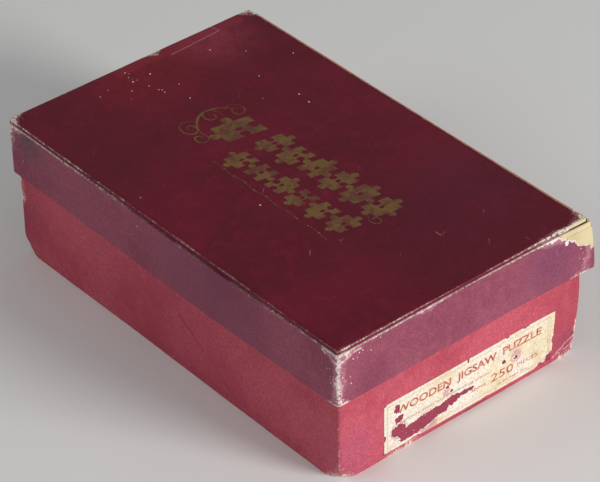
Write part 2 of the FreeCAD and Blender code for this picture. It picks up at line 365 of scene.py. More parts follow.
def makePaperGroup():
    # cloudy dye, tiny fibres and the close net of an embossed cover paper
    tree, given, put = startGroup(
        "paperGrain", [("place", "Vector", None), ("net", "Float", 0.0007)],
        [("cloud", "Float"), ("blotch", "Float"), ("fibre", "Float"), ("height", "Float")])
    tree.links.new(noiseValue(tree, given["place"], 0.045, 4.0), put["cloud"])
    tree.links.new(noiseValue(tree, given["place"], 0.006, 4.0, 0.6), put["blotch"])
    fibre = noiseValue(tree, given["place"], 0.0009, 4.0, 0.7)
    tree.links.new(fibre, put["fibre"])
    scaled = addNode(tree, "VectorMath", operation="SCALE")
    tree.links.new(given["place"], scaled.inputs[0])
    tree.links.new(calc(tree, "DIVIDE", 6.2832, given["net"]), scaled.inputs["Scale"])
    axes = addNode(tree, "SeparateXYZ", {"Vector": scaled.outputs[0]}).outputs
    net = calc(tree, "MULTIPLY", calc(tree, "SINE", calc(tree, "ADD", axes["X"], axes["Z"])),
               calc(tree, "SINE", calc(tree, "ADD", axes["Y"], axes["Z"])))
    tree.links.new(calc(tree, "MULTIPLY_ADD", net, 0.25, fibre), put["height"])
    return tree


def makeSpeckGroup():
    # scattered round dots: only a share of the cells has one
    tree, given, put = startGroup(
        "strayDots", [("place", "Vector", None), ("spacing", "Float", 0.01),
                      ("size", "Float", 0.0004), ("share", "Float", 0.3)], [("mask", "Float")])
    cells = addNode(tree, "TexVoronoi", {"Vector": given["place"],
                                         "Scale": calc(tree, "DIVIDE", 1.0, given["spacing"])})
    chance = addNode(tree, "SeparateColor", {"Color": cells.outputs["Color"]}).outputs
    radius = calc(tree, "MULTIPLY", given["size"], calc(tree, "MULTIPLY_ADD", chance["Green"], 0.9, 0.5))
    apart = calc(tree, "MULTIPLY", cells.outputs["Distance"], given["spacing"])
    dot = ramp(tree, calc(tree, "DIVIDE", apart, radius), 1.15, 0.85)
    kept = calc(tree, "LESS_THAN", chance["Red"], given["share"])
    tree.links.new(calc(tree, "MULTIPLY", dot, kept), put["mask"])
    return tree


def makeScratchGroup():
    # fine broken lines where a stretched noise crosses its middle
    tree, given, put = startGroup(
        "fineScratches", [("place", "Vector", None), ("length", "Float", 0.03),
                          ("width", "Float", 0.004), ("turn", "Float", 0.6),
                          ("share", "Float", 0.3)], [("mask", "Float")])
    turned = addNode(tree, "VectorRotate", {"Vector": given["place"], "Angle": given["turn"]},
                     rotation_type="Z_AXIS")
    stretch = addNode(tree, "VectorMath", {1: (0.18, 1.0, 1.0)}, operation="MULTIPLY")
    tree.links.new(turned.outputs[0], stretch.inputs[0])
    wavy = addNode(tree, "TexNoise", {"Vector": stretch.outputs[0], "Detail": 1.0,
                                      "Scale": calc(tree, "DIVIDE", 1.0, given["length"])})
    off = calc(tree, "ABSOLUTE", calc(tree, "SUBTRACT", wavy.outputs["Fac"], 0.5))
    line = ramp(tree, calc(tree, "DIVIDE", off, given["width"]), 1, 0.4)
    broken = noiseValue(tree, given["place"], 0.011, 3.0)
    kept = ramp(tree, broken, calc(tree, "SUBTRACT", 0.72, calc(tree, "MULTIPLY", given["share"], 0.3)), 0.74)
    tree.links.new(calc(tree, "MULTIPLY", line, kept), put["mask"])
    return tree


edgeGroup = makeEdgeGroup()
frayGroup = makeFrayGroup()
spotGroup = makeSpotGroup()
lineGroup = makeLineGroup()
paperGroup = makePaperGroup()
speckGroup = makeSpeckGroup()
scratchGroup = makeScratchGroup()


# the three cover papers: one recipe, three sets of values

coverPapers = {
    "tray": {
        "half": (0.113, 0.0695), "foot": 0.0, "top": 0.0718,
        "deep": colour(186, 72, 90), "ink": colour(204, 90, 106), "bright": colour(212, 104, 112),
        "rubbedInk": colour(226, 150, 150), "bare": colour(233, 214, 200),
        "rim": 0.0002, "upright": 0.00012, "base": 0.0002, "crest": 0.0,
        "roughness": 0.62, "net": 0.0009, "specks": (0.012, 0.0003, 0.12), "scratches": 0.35,
        "gloss": 0.2, "glueBed": colour(152, 58, 82),
        "wornSpots": [((0.113, -0.0695, 0.0), 0.012, 0.0046), ((0.113, 0.0695, 0.0), 0.022, 0.0022),
                      ((-0.113, -0.0695, 0.034), 0.010, 0.0044), ((-0.113, 0.0695, 0.0), 0.014, 0.0016),
                      ((-0.113, -0.0695, 0.0), 0.012, 0.0012), ((0.113, -0.033, 0.0), 0.014, 0.0024),
                       ((0.113, -0.0695, 0.018), 0.028, 0.0005), ((-0.113, -0.0695, 0.050), 0.022, 0.0007)],
        "stainsAndPaintedLight": [((0.113, 0.066, 0.004), 0.020, colour(150, 70, 96), 0.85),
                    ((0.113, 0.0695, 0.030), 0.022, colour(150, 60, 75), 0.15),
                    ((0.113, -0.062, 0.012), 0.024, colour(190, 92, 122), 0.6),
                    ((-0.113, -0.0695, 0.02), 0.030, colour(150, 52, 80), 0.5),
                    # painted shade: this wide darker spot darkens the long front side, which faces away from the
                    # key light
                    ((0.0, -0.0695, 0.004), 0.110, colour(168, 60, 88), 0.35)],
        "crumbs": [((0.113, -0.0695, 0.020), 0.028, 0.22), ((0.113, -0.028, 0.009), 0.018, 0.3), ((-0.113, -0.0695, 0.045), 0.030, 0.12),
                   ((0.113, 0.020, 0.0), 0.050, 0.12)],
        # the dark lines are painted shade in creases and in the crack under the label; the two pale ones are
        # cracked paper
        "creaseWearAndPaintedLight": [((0.1131, -0.0445, 0.0030), (0.1131, -0.0240, 0.0010), 0.0006, 0.0014,
                     colour(62, 24, 30), 0.85),
                    ((0.1131, -0.0040, 0.0008), (0.1131, 0.0160, 0.0014), 0.0004, 0.0014,
                     colour(84, 30, 40), 0.7),
                    ((0.113, 0.0695, 0.014), (0.113, 0.0600, 0.0012), 0.0006, 0.0022,
                     colour(70, 26, 34), 0.8),
                    ((0.113, 0.0690, 0.0100), (0.113, 0.0560, 0.0030), 0.0007, 0.0030,
                     colour(232, 172, 168), 0.8),
                    ((0.113, 0.0680, 0.0050), (0.113, 0.0600, 0.0040), 0.0006, 0.0030,
                     colour(232, 172, 168), 0.7),
                    ((0.005, -0.0695, 0.030), (0.022, -0.0695, 0.019), 0.0007, 0.0016,
                     colour(112, 34, 52), 0.55)],
    },
    "apron": {
        "half": (0.115, 0.0715), "foot": 0.045, "top": 0.0718,
        "deep": colour(146, 70, 92), "ink": colour(160, 84, 104), "bright": colour(172, 94, 110),
        "rubbedInk": colour(208, 160, 172), "bare": colour(232, 216, 208),
        "rim": 0.00028, "upright": 0.00035, "base": 0.00001, "crest": 0.0,
        "roughness": 0.62, "net": 0.0009, "specks": (0.010, 0.00028, 0.12), "scratches": 0.3,
        "gloss": 0.2,
        "wornSpots": [((0.115, -0.0715, 0.070), 0.012, 0.0036), ((0.115, -0.0715, 0.058), 0.014, 0.0018),
                      ((0.115, -0.0715, 0.046), 0.008, 0.0024), ((0.115, 0.0715, 0.046), 0.012, 0.0034),
                      ((0.115, 0.0715, 0.060), 0.014, 0.0022), ((-0.115, -0.0715, 0.066), 0.014, 0.0036),
                      ((-0.115, 0.0715, 0.068), 0.014, 0.0018), ((0.115, -0.02, 0.0718), 0.010, 0.0010),
                      ((0.115, 0.058, 0.0718), 0.018, 0.0012)],
        "stainsAndPaintedLight": [((-0.100, -0.0715, 0.070), 0.020, colour(96, 84, 88), 0.7),
                    ((0.115, 0.052, 0.058), 0.026, colour(122, 66, 96), 0.7),
                    ((0.115, -0.052, 0.048), 0.020, colour(128, 62, 84), 0.6),
                    # painted shade: a wide darker spot over the middle of the long front side
                    ((0.030, -0.0715, 0.060), 0.060, colour(122, 66, 92), 0.5)],
        "crumbs": [((0.115, -0.0715, 0.054), 0.016, 0.55), ((0.115, -0.060, 0.070), 0.016, 0.4),
                   ((-0.115, -0.0715, 0.062), 0.020, 0.3), ((0.115, 0.0715, 0.050), 0.024, 0.3),
                   ((0.115, 0.020, 0.046), 0.060, 0.08)],
        "creaseWearAndPaintedLight": [((0.115, -0.0715, 0.0672), (0.1055, -0.0715, 0.0704), 0.0008, 0.0040,
                     colour(218, 196, 194), 0.7),
                    ((0.115, -0.0715, 0.0676), (0.115, -0.0590, 0.0700), 0.0008, 0.0040,
                     colour(220, 198, 196), 0.7),
                    ((0.115, -0.0690, 0.0500), (0.115, -0.0705, 0.0620), 0.0005, 0.0030,
                     colour(214, 178, 184), 0.7),
                    ((0.1128, -0.0715, 0.0490), (0.1124, -0.0715, 0.0600), 0.0005, 0.0030,
                     colour(206, 172, 178), 0.7),
                    ((0.115, 0.0650, 0.0470), (0.115, 0.0690, 0.0570), 0.0005, 0.0020,
                     colour(210, 172, 182), 0.6)],
    },
    "panel": {
        "half": (0.1148, 0.0713), "foot": 0.0, "top": 0.074,
        "deep": colour(104, 16, 36), "ink": colour(118, 20, 44), "bright": colour(132, 28, 52), "gloss": 0.2,
        "rubbedInk": colour(196, 150, 150), "bare": colour(226, 212, 196),
        "rim": 0.0, "upright": 0.0, "base": 0.0, "crest": 0.0002,
        "roughness": 0.42, "net": 0.0008, "specks": (0.0085, 0.00042, 0.05), "scratches": 0.35,
        "speckPatch": ((-0.080, 0.020, 0.074), 0.070, 0.35),
        "wornSpots": [((0.115, 0.0715, 0.074), 0.012, 0.0020), ((0.115, -0.0715, 0.074), 0.010, 0.0008),
                      ((-0.115, -0.0715, 0.074), 0.010, 0.0018), ((-0.115, 0.0715, 0.074), 0.010, 0.0040),
                      ((-0.115, 0.012, 0.074), 0.006, 0.0018), ((0.115, 0.050, 0.074), 0.026, 0.0004)],
        # painted highlight: the first two spots, lighter red at the far left of the top
        "stainsAndPaintedLight": [((-0.108, 0.040, 0.074), 0.034, colour(158, 62, 78), 0.8),
                    ((-0.112, 0.000, 0.074), 0.050, colour(142, 34, 44), 0.7),
                    ((0.080, 0.020, 0.074), 0.070, colour(92, 24, 42), 0.6),
                    ((0.060, 0.052, 0.074), 0.050, colour(98, 34, 52), 0.5),
                    ((-0.060, -0.062, 0.074), 0.050, colour(94, 22, 34), 0.6)],
        "crumbs": [((-0.100, -0.006, 0.074), 0.034, 0.10), ((-0.1148, -0.0713, 0.074), 0.010, 0.5)],
        # painted highlight: the first, wide lighter red strip along the far left edge of the top
        "creaseWearAndPaintedLight": [((-0.1115, -0.010, 0.074), (-0.1115, 0.060, 0.074), 0.0045, 0.0010,
                     colour(148, 44, 58), 0.45),
                    ((-0.1075, 0.0178, 0.074), (-0.1090, 0.0480, 0.074), 0.00055, 0.0010,
                     colour(178, 104, 112), 0.8),
                    ((-0.1090, 0.0480, 0.074), (-0.1145, 0.0470, 0.074), 0.0005, 0.0008,
                     colour(178, 104, 112), 0.7),
                    ((-0.1145, 0.0100, 0.074), (-0.1120, 0.0130, 0.074), 0.0008, 0.0010,
                     colour(214, 176, 170), 0.8),
                    # painted shade: a dark line along the far edge of the top, inside the rubbed pale edge
                    ((-0.1120, 0.0695, 0.074), (0.1100, 0.0695, 0.074), 0.0005, 0.0008,
                     colour(54, 12, 22), 0.7),
                    ((-0.1120, 0.0706, 0.074), (0.1100, 0.0706, 0.074), 0.0008, 0.0010,
                     colour(204, 134, 106), 0.85)],
    },
}


def makeCoverPaper(name, look):
    material, tree, shader, place = startMaterial(name)
    grain = useGroup(tree, paperGroup, place=place, net=look["net"])
    tone = blendColour(tree, ramp(tree, grain["cloud"], 0.35, 0.62), look["deep"], look["ink"])
    tone = blendColour(tree, ramp(tree, grain["blotch"], 0.45, 0.72, 0.0, 0.5), tone, look["bright"])
    # stain spots, and spots of painted shade and painted highlight
    for centre, radius, stainWearAndPaintedLight, strength in look["stainsAndPaintedLight"]:
        spot = useGroup(tree, spotGroup, place=place, centre=centre, radius=radius)["mask"]
        patch = calc(tree, "MULTIPLY", spot, ramp(tree, grain["blotch"], 0.25, 0.6, 0.3, strength))
        tone = blendColour(tree, patch, tone, stainWearAndPaintedLight)
    if "glueBed" in look:
        # the darker patch that the torn label uncovers
        axes = addNode(tree, "SeparateXYZ", {"Vector": place}).outputs
        across = calc(tree, "ABSOLUTE", calc(tree, "SUBTRACT", axes["Y"], (labelLow.y + labelHigh.y) / 2))
        upward = calc(tree, "ABSOLUTE", calc(tree, "SUBTRACT", axes["Z"], (labelLow.z + labelHigh.z) / 2))
        bed = calc(tree, "MULTIPLY", ramp(tree, across, (labelHigh.y - labelLow.y) / 2, 0.0490),
                   ramp(tree, upward, (labelHigh.z - labelLow.z) / 2, 0.0128))
        bed = calc(tree, "MULTIPLY", bed, calc(tree, "GREATER_THAN", axes["X"], 0.1115))
        tone = blendColour(tree, calc(tree, "MULTIPLY", bed, 0.85), tone, look["glueBed"])
    tone = blendColour(tree, ramp(tree, grain["fibre"], 0.35, 0.65, 0.0, 0.34), tone,
                       (0.02, 0.004, 0.008, 1))
    # lines along creases: cracked paper and rubbed edges, painted shade in the folds and a painted highlight strip
    for start, end, width, wander, stainWearAndPaintedLight, strength in look["creaseWearAndPaintedLight"]:
        line = useGroup(tree, lineGroup, place=place, start=start, end=end, width=width,
                        wander=wander)["mask"]
        line = calc(tree, "MULTIPLY", line, ramp(tree, grain["fibre"], 0.30, 0.50, 0.35, strength))
        tone = blendColour(tree, line, tone, stainWearAndPaintedLight)
    scratch = useGroup(tree, scratchGroup, place=place, length=0.02, width=0.0035, turn=0.7,
                       share=look["scratches"])["mask"]
    tone = blendColour(tree, calc(tree, "MULTIPLY", scratch, 0.55), tone, look["rubbedInk"])
    spacing, size, share = look["specks"]
    if "speckPatch" in look:
        centre, radius, added = look["speckPatch"]
        spot = useGroup(tree, spotGroup, place=place, centre=centre, radius=radius)["mask"]
        share = calc(tree, "MULTIPLY_ADD", spot, added, share)
    dots = useGroup(tree, speckGroup, place=place, spacing=spacing, size=size, share=share)["mask"]
    share = 0.0
    for centre, radius, added in look["crumbs"]:
        spot = useGroup(tree, spotGroup, place=place, centre=centre, radius=radius)["mask"]
        share = calc(tree, "MULTIPLY_ADD", spot, added, share)
    crumbs = useGroup(tree, speckGroup, place=place, spacing=0.0022, size=0.00028, share=share)["mask"]
    dots = calc(tree, "MAXIMUM", dots, crumbs)
    edges = useGroup(tree, edgeGroup, place=place, halfX=look["half"][0], halfY=look["half"][1],
                     foot=look["foot"], top=look["top"])
    extra = 0.0
    for centre, radius, added in look["wornSpots"]:
        spot = useGroup(tree, spotGroup, place=place, centre=centre, radius=radius)["mask"]
        extra = calc(tree, "MULTIPLY_ADD", spot, added, extra)
    bare, rubbed = dots, 0.0
    for edge in ("rim", "upright", "base", "crest"):
        if not look[edge]:
            continue
        reach = calc(tree, "ADD", extra, look[edge])
        fray = useGroup(tree, frayGroup, place=place, distance=edges[edge], reach=reach)
        bare = calc(tree, "MAXIMUM", bare, fray["mask"])
        rubbed = calc(tree, "MAXIMUM", rubbed, fray["rubbed"])
    torn = addNode(tree, "Attribute", attribute_name="torn").outputs["Fac"]
    edgeNoise = noiseValue(tree, place, 0.0009, 3.0, 0.7)
    fringe = ramp(tree, calc(tree, "ADD", torn, calc(tree, "MULTIPLY", edgeNoise, 0.5)), 0.75, 1.0)
    bare = calc(tree, "MAXIMUM", bare, fringe)
    speckled = ramp(tree, noiseValue(tree, place, 0.0006, 2.0, 0.8), 0.42, 0.60)
    rubbed = calc(tree, "MULTIPLY", rubbed, calc(tree, "MULTIPLY_ADD", speckled, 0.7, 0.12))
    tone = blendColour(tree, rubbed, tone, look["rubbedInk"])
    bareTone = blendColour(tree, ramp(tree, noiseValue(tree, place, 0.0016, 3.0, 0.7), 0.4, 0.75, 0.0, 0.5),
                           look["bare"], look["rubbedInk"])
    tone = blendColour(tree, bare, tone, bareTone)
    tree.links.new(tone, shader.inputs["Base Color"])
    dull = calc(tree, "MULTIPLY_ADD", grain["blotch"], 0.18, look["roughness"] - 0.09)
    tree.links.new(calc(tree, "MAXIMUM", dull, calc(tree, "MULTIPLY", bare, 0.9)),
                   shader.inputs["Roughness"])
    shader.inputs["Specular IOR Level"].default_value = look.get("gloss", 0.35)
    height = calc(tree, "MULTIPLY_ADD", bare, -1.2, grain["height"])
    height = calc(tree, "MULTIPLY_ADD", scratch, -0.6, height)
    bump = addNode(tree, "Bump", {"Height": height, "Strength": 0.35, "Distance": 0.00008})
    tree.links.new(bump.outputs[0], shader.inputs["Normal"])
    return material


def makeBoardMaterial(name, pale, dark, grit):
    # pressed pulp with dark and light flecks
    material, tree, shader, place = startMaterial(name)
    cloud = noiseValue(tree, place, 0.02, 4.0)
    pulp = noiseValue(tree, place, grit, 5.0, 0.75)
    tone = blendColour(tree, ramp(tree, cloud, 0.35, 0.65), pale, dark)
    tone = blendColour(tree, ramp(tree, pulp, 0.45, 0.8, 0.0, 0.35), tone, colour(160, 138, 100))
    fleck = useGroup(tree, speckGroup, place=place, spacing=0.004, size=0.00025, share=0.3)["mask"]
    tone = blendColour(tree, calc(tree, "MULTIPLY", fleck, 0.7), tone, colour(96, 80, 62))
    tree.links.new(tone, shader.inputs["Base Color"])
    shader.inputs["Roughness"].default_value = 0.9
    bump = addNode(tree, "Bump", {"Height": pulp, "Strength": 0.5, "Distance": 0.0001})
    tree.links.new(bump.outputs[0], shader.inputs["Normal"])
    return material


trayMaterial = makeCoverPaper("crimsonTrayPaper", coverPapers["tray"])
apronMaterial = makeCoverPaper("mauveApronPaper", coverPapers["apron"])
panelMaterial = makeCoverPaper("maroonPanelPaper", coverPapers["panel"])
boardMaterial = makeBoardMaterial("strawBoard", colour(216, 201, 162), colour(202, 184, 144), 0.0009)
gummedMaterial = makeBoardMaterial("gummedStay", colour(212, 196, 156), colour(198, 180, 138), 0.0008)
undersideMaterial = makeBoardMaterial("undersidePaper", colour(206, 192, 164), colour(184, 168, 140), 0.0009)
print("papers mixed")


# warping that every layer of board and paper shares, so that nested layers stay nested

waves = {"size": 0.055, "strength": 0.0007}
dents = {
    # place, push, reach
    "apron": [((0.115, 0.0715, 0.045), (0.0016, 0.0056, 0.0008), 0.046),
              ((0.115, 0.0715, 0.0718), (0.0010, 0.0002, 0.0), 0.022),
              ((0.020, -0.0715, 0.045), (0.0, -0.0006, -0.0007), 0.110)],
    "panel": [((0.115, 0.0715, 0.073), (0.0007, 0.0003, 0.0001), 0.024),
              ((0.115, -0.0715, 0.074), (-0.0003, 0.0003, -0.0001), 0.007),
              ((-0.115, 0.0715, 0.074), (0.0003, -0.0003, -0.0001), 0.007),
              ((-0.115, -0.0715, 0.074), (0.0002, 0.0002, -0.0001), 0.005)],
    "tray": [((0.113, -0.0695, 0.0), (-0.0026, 0.0026, 0.0010), 0.010),
             ((0.113, 0.0695, 0.0), (-0.0004, -0.0006, 0.0007), 0.008),
             ((0.113, 0.0695, 0.034), (0.0005, 0.0020, 0.0), 0.034),
             ((-0.113, -0.0695, 0.0), (0.0018, 0.0018, 0.0008), 0.010),
             ((-0.113, 0.0695, 0.0), (0.0020, -0.0014, 0.0010), 0.012)],
}


def warpTogether(pieces, group):
    texture = bpy.data.textures.get("boardWaves")
    if not texture:
        texture = bpy.data.textures.new("boardWaves", "CLOUDS")
        texture.noise_scale = waves["size"]
        texture.noise_depth = 1
    for piece in pieces:
        for direction in ("X", "Y"):
            addModifier(piece, "DISPLACE", texture=texture, texture_coords="GLOBAL",
                        direction=direction, strength=waves["strength"], mid_level=0.5)
    for place, push, reach in dents[group]:
        clearSelection()
        bpy.ops.object.empty_add(location=place)
        start = bpy.context.object
        bpy.ops.object.empty_add(location=Vector(place) + Vector(push))
        end = bpy.context.object
        for piece in pieces:
            addModifier(piece, "WARP", object_from=start, object_to=end, falloff_radius=reach,
                        falloff_type="SMOOTH", strength=1)
        bpy.data.objects.remove(start)
        bpy.data.objects.remove(end)


# the tray

traySize = {"wall": 0.0018, "turnIn": 0.012, "turnUnder": 0.014, "corner": 0.0015,
            "foot": 0.0008, "rim": 0.0004, "cut": 0.003, "board": 0.0014, "inner": 0.0002}


def makeTrayPaper():
    size = traySize
    piece = addBlock("trayPaper", trayLow, trayHigh)
    startEdit(piece)
    roundEdges(piece, isUpright, size["corner"], 4)
    roundEdges(piece, lambda a, b: near(a.z, 0) and near(b.z, 0), size["foot"], 3)
    roundEdges(piece, lambda a, b: near(a.z, trayHigh.z) and near(b.z, trayHigh.z), size["rim"], 2)
    pickFaces(piece, lambda centre, normal: normal.z > 0.99)
    foldInwards(size["wall"] - size["rim"])
    bpy.ops.mesh.extrude_region_move(TRANSFORM_OT_translate={"value": (0, 0, -size["turnIn"])})
    bpy.ops.mesh.delete(type="FACE")
    pickFaces(piece, lambda centre, normal: normal.z < -0.99)
    foldInwards(size["turnUnder"] - size["foot"])
    bpy.ops.mesh.delete(type="FACE")
    sliceBox(trayLow, trayHigh, size["cut"])
    stopEdit()
    return piece


def makeTrayBoard():
    size = traySize
    gap = Vector((boardGap, boardGap, 0))
    piece = addBlock("trayBoard", trayBoardLow + gap, trayBoardHigh - gap)
    startEdit(piece)
    roundEdges(piece, isUpright, size["corner"], 4)
    roundEdges(piece, lambda a, b: near(a.z, trayBoardLow.z) and near(b.z, trayBoardLow.z),
               size["foot"], 3)
    pickFaces(piece, lambda centre, normal: normal.z > 0.99)
    foldInwards(size["board"] - 2 * boardGap)
    depth = trayBoardHigh.z - trayBoardLow.z - size["board"]
    bpy.ops.mesh.extrude_region_move(TRANSFORM_OT_translate={"value": (0, 0, -depth)})
    sliceBox(trayLow, trayHigh, size["cut"])
    stopEdit()
    return piece


stayTuck = (0.9995, 0.9991, 1)


def makeStays(group, low, high, spacing):
    # folded strips that hold the corners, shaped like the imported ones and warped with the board
    stays = []
    for number in range(1, 5):
        node = f"{group}_corner_stay_{number}"
        stay = bpy.data.objects.new(f"{group}Stay{number}", frame["nodes"][node].data.copy())
        bpy.context.scene.collection.objects.link(stay)
        startEdit(stay, "VERT")
        bpy.ops.mesh.select_all(action="SELECT")
        bpy.ops.mesh.remove_doubles(threshold=0.000002)
        bpy.ops.mesh.dissolve_limited(angle_limit=math.radians(2))
        sliceBox(low, high, spacing)
        bpy.ops.mesh.select_all(action="SELECT")
        bpy.ops.transform.resize(value=stayTuck, center_override=(0, 0, 0))
        stopEdit()
        stays.append((stay, node))
    return stays


trayPaper = makeTrayPaper()
trayBoard = makeTrayBoard()
trayStays = makeStays("tray", trayLow, trayHigh, traySize["cut"])
warpTogether([trayPaper, trayBoard] + [stay for stay, node in trayStays], "tray")
thicken(trayPaper, paperThickness)
for piece in (trayPaper, trayBoard):
    smooth(piece)
finishPiece(trayPaper, "tray", ["tray_wrap"], trayMaterial)
finishPiece(trayBoard, "tray", ["tray_board"], boardMaterial)
for stay, node in trayStays:
    finishPiece(stay, "tray", [node], gummedMaterial)
print("tray made")


# the lid

lidSize = {"wall": 0.0016, "turnIn": 0.009, "corner": 0.0015, "cut": 0.003, "board": 0.0012,
           "panelInset": 0.0002, "panelCorner": 0.0009, "panelRound": 0.0005, "slit": 0.0005,
           "slitDepth": 0.0016, "rimFold": 0.0013, "boardDrop": 0.0001, "rest": 0.0001}
cornerTear = {"along": 0.0170, "down": 0.0145, "bend": 1.15, "ragged": 0.16, "fringe": 0.10}


def tearDepth(point):
    # above 0 where the apron paper is torn from the worn right corner
    along = min(abs(apronHigh.y - point.y) if point.x > apronHigh.x - 0.003 else 1,
                abs(apronHigh.x - point.x) if point.y > apronHigh.y - 0.003 else 1)
    down = max(0, apronHigh.z - point.z)
    bend = cornerTear["bend"]
    share = (along / cornerTear["along"]) ** bend + (down / cornerTear["down"]) ** bend
    return 1 - share + ragged(point, 0.004) * cornerTear["ragged"]


def makeApronPaper():
    size = lidSize
    piece = addBlock("apronPaper", apronLow, apronHigh)
    startEdit(piece)
    roundEdges(piece, isUpright, size["corner"], 4)
    pickFaces(piece, lambda centre, normal: normal.z > 0.9)
    foldInwards(size["rimFold"])
    bpy.ops.mesh.delete(type="FACE")
    pickFaces(piece, lambda centre, normal: normal.z < -0.9)
    foldInwards(size["wall"])
    bpy.ops.mesh.extrude_region_move(TRANSFORM_OT_translate={"value": (0, 0, size["turnIn"])})
    bpy.ops.mesh.delete(type="FACE")
    sliceBox(apronLow, apronHigh, size["cut"])
    wearThrough(piece, lambda point: point.x > apronHigh.x - 0.020 and point.y > apronHigh.y - 0.020
                and point.z > apronHigh.z - 0.018
                and max(point.x - apronHigh.x, point.y - apronHigh.y) > -0.0014, tearDepth, 5)
    stopEdit()
    storeValue(piece, "torn", lambda point: max(0, 1 + tearDepth(point) / cornerTear["fringe"] * 0.5)
               if tearDepth(point) > -0.2 else 0)
    return piece


def makeApronBoard():
    size = lidSize
    gap = Vector((boardGap, boardGap, 0))
    high = apronBoardHigh - gap
    high.z = apronHigh.z - paperThickness - lidSize["boardDrop"]
    piece = addBlock("apronBoard", apronBoardLow + gap, high)
    startEdit(piece)
    roundEdges(piece, isUpright, size["corner"], 4)
    for side in (1, -1):
        pickFaces(piece, lambda centre, normal: normal.z * side > 0.9)
        foldInwards(size["board"] - 2 * boardGap)
    pickFaces(piece, lambda centre, normal: abs(normal.z) > 0.9 and abs(centre.x) < 0.001
              and abs(centre.y) < 0.001)
    bpy.ops.mesh.bridge_edge_loops()
    sliceBox(apronLow, apronHigh, size["cut"])
    stopEdit()
    return piece


def panelTearDepth(point):
    # above 0 where the panel's own paper is worn off its right corner
    fromX = panelHigh.x - point.x
    fromY = panelHigh.y - point.y
    band = 1 - fromX / 0.0012 - fromY / 0.014
    corner = 1 - math.hypot(fromX, fromY) / 0.0026
    return max(band, corner) + ragged(point, 0.003, 2.0) * 0.35


def wearThrough(piece, nearby, rule, cuts):
    # finer faces near the damage, then the ones inside it go and the new border is softened
    pickFaces(piece, lambda centre, normal: nearby(centre))
    bpy.ops.mesh.subdivide(number_cuts=cuts)
    pickFaces(piece, lambda centre, normal: nearby(centre) and rule(centre) > 0)
    bpy.ops.mesh.delete(type="FACE")
    bpy.ops.mesh.select_mode(type="EDGE")
    bpy.ops.mesh.select_non_manifold(extend=False, use_wire=False, use_boundary=True,
                                     use_multi_face=False, use_non_contiguous=False, use_verts=False)
    mesh = bmesh.from_edit_mesh(piece.data)
    border = {vertex for vertex in mesh.verts if vertex.select and nearby(vertex.co)
              and any(rule(edge.other_vert(vertex).co) > -0.25 for edge in vertex.link_edges)
              and not any(near(vertex.co.z, level) for level in (apronHigh.z, apronLow.z))}
    bpy.ops.mesh.select_mode(type="VERT")
    for vertex in mesh.verts:
        vertex.select_set(vertex in border)
    bmesh.update_edit_mesh(piece.data)
    bpy.ops.mesh.vertices_smooth(factor=0.5, repeat=2)


def makePanelSheet():
    size = lidSize
    inset = Vector((size["panelInset"], size["panelInset"], 0))
    low = panelLow + inset
    low.z = apronHigh.z + size["slit"]
    high = panelHigh - inset
    piece = addBlock("topSheet", low, high)
    startEdit(piece)
    pickFaces(piece, lambda centre, normal: normal.z < -0.9)
    bpy.ops.mesh.delete(type="FACE")
    roundEdges(piece, lambda a, b: isUpright(a, b), size["panelCorner"], 4)
    roundEdges(piece, lambda a, b: near(a.z, high.z) and near(b.z, high.z), size["panelRound"], 3)
    sliceAlong(0, low.x, high.x, size["cut"])
    sliceAlong(1, low.y, high.y, size["cut"])
    wearThrough(piece, lambda point: point.x > high.x - 0.010 and point.y > high.y - 0.022,
                panelTearDepth, 5)
    stopEdit()
    storeValue(piece, "torn", lambda point: max(0, 1 + panelTearDepth(point) * 1.6))
    return piece


def makePanelBoard():
    size = lidSize
    inset = Vector((size["panelInset"], size["panelInset"], 0))
    low = panelLow + inset + Vector((1, 1, 0)) * (paperThickness + size["boardDrop"])
    high = panelHigh - inset - Vector((1, 1, 1)) * (paperThickness + size["boardDrop"])
    low.z = apronHigh.z + size["slit"]
    piece = addBlock("panelBoard", low, high)
    startEdit(piece)
    roundEdges(piece, lambda a, b: isUpright(a, b), size["panelCorner"], 4)
    roundEdges(piece, lambda a, b: near(a.z, high.z) and near(b.z, high.z), size["panelRound"], 3)
    pickFaces(piece, lambda centre, normal: normal.z < -0.9)
    bpy.ops.mesh.inset(thickness=size["slitDepth"])
    down = panelBoardLow.z + size["rest"] - low.z
    bpy.ops.mesh.extrude_region_move(TRANSFORM_OT_translate={"value": (0, 0, down)})
    sliceAlong(0, low.x, high.x, size["cut"])
    sliceAlong(1, low.y, high.y, size["cut"])
    stopEdit()
    return piece


apronPaper = makeApronPaper()
apronBoard = makeApronBoard()
lidStays = makeStays("lid", apronLow, apronHigh, lidSize["cut"])
warpTogether([apronPaper, apronBoard] + [stay for stay, node in lidStays], "apron")
panelSheet = makePanelSheet()
panelBoard = makePanelBoard()
warpTogether([panelSheet, panelBoard], "panel")
for piece in (apronPaper, panelSheet):
    thicken(piece, paperThickness)
for piece in (apronPaper, panelSheet, apronBoard, panelBoard):
    smooth(piece)
finishPiece(apronPaper, "lid", ["lid_apron_wrap"], apronMaterial)
finishPiece(apronBoard, "lid", ["lid_apron_board"], boardMaterial)
finishPiece(panelSheet, "lid", ["lid_top_sheet"], panelMaterial)
finishPiece(panelBoard, "lid", ["lid_top_board"], boardMaterial)
for stay, node in lidStays:
    finishPiece(stay, "lid", [node], gummedMaterial)
print("lid made")


# the end label: aged paper, torn through in places, with its printing

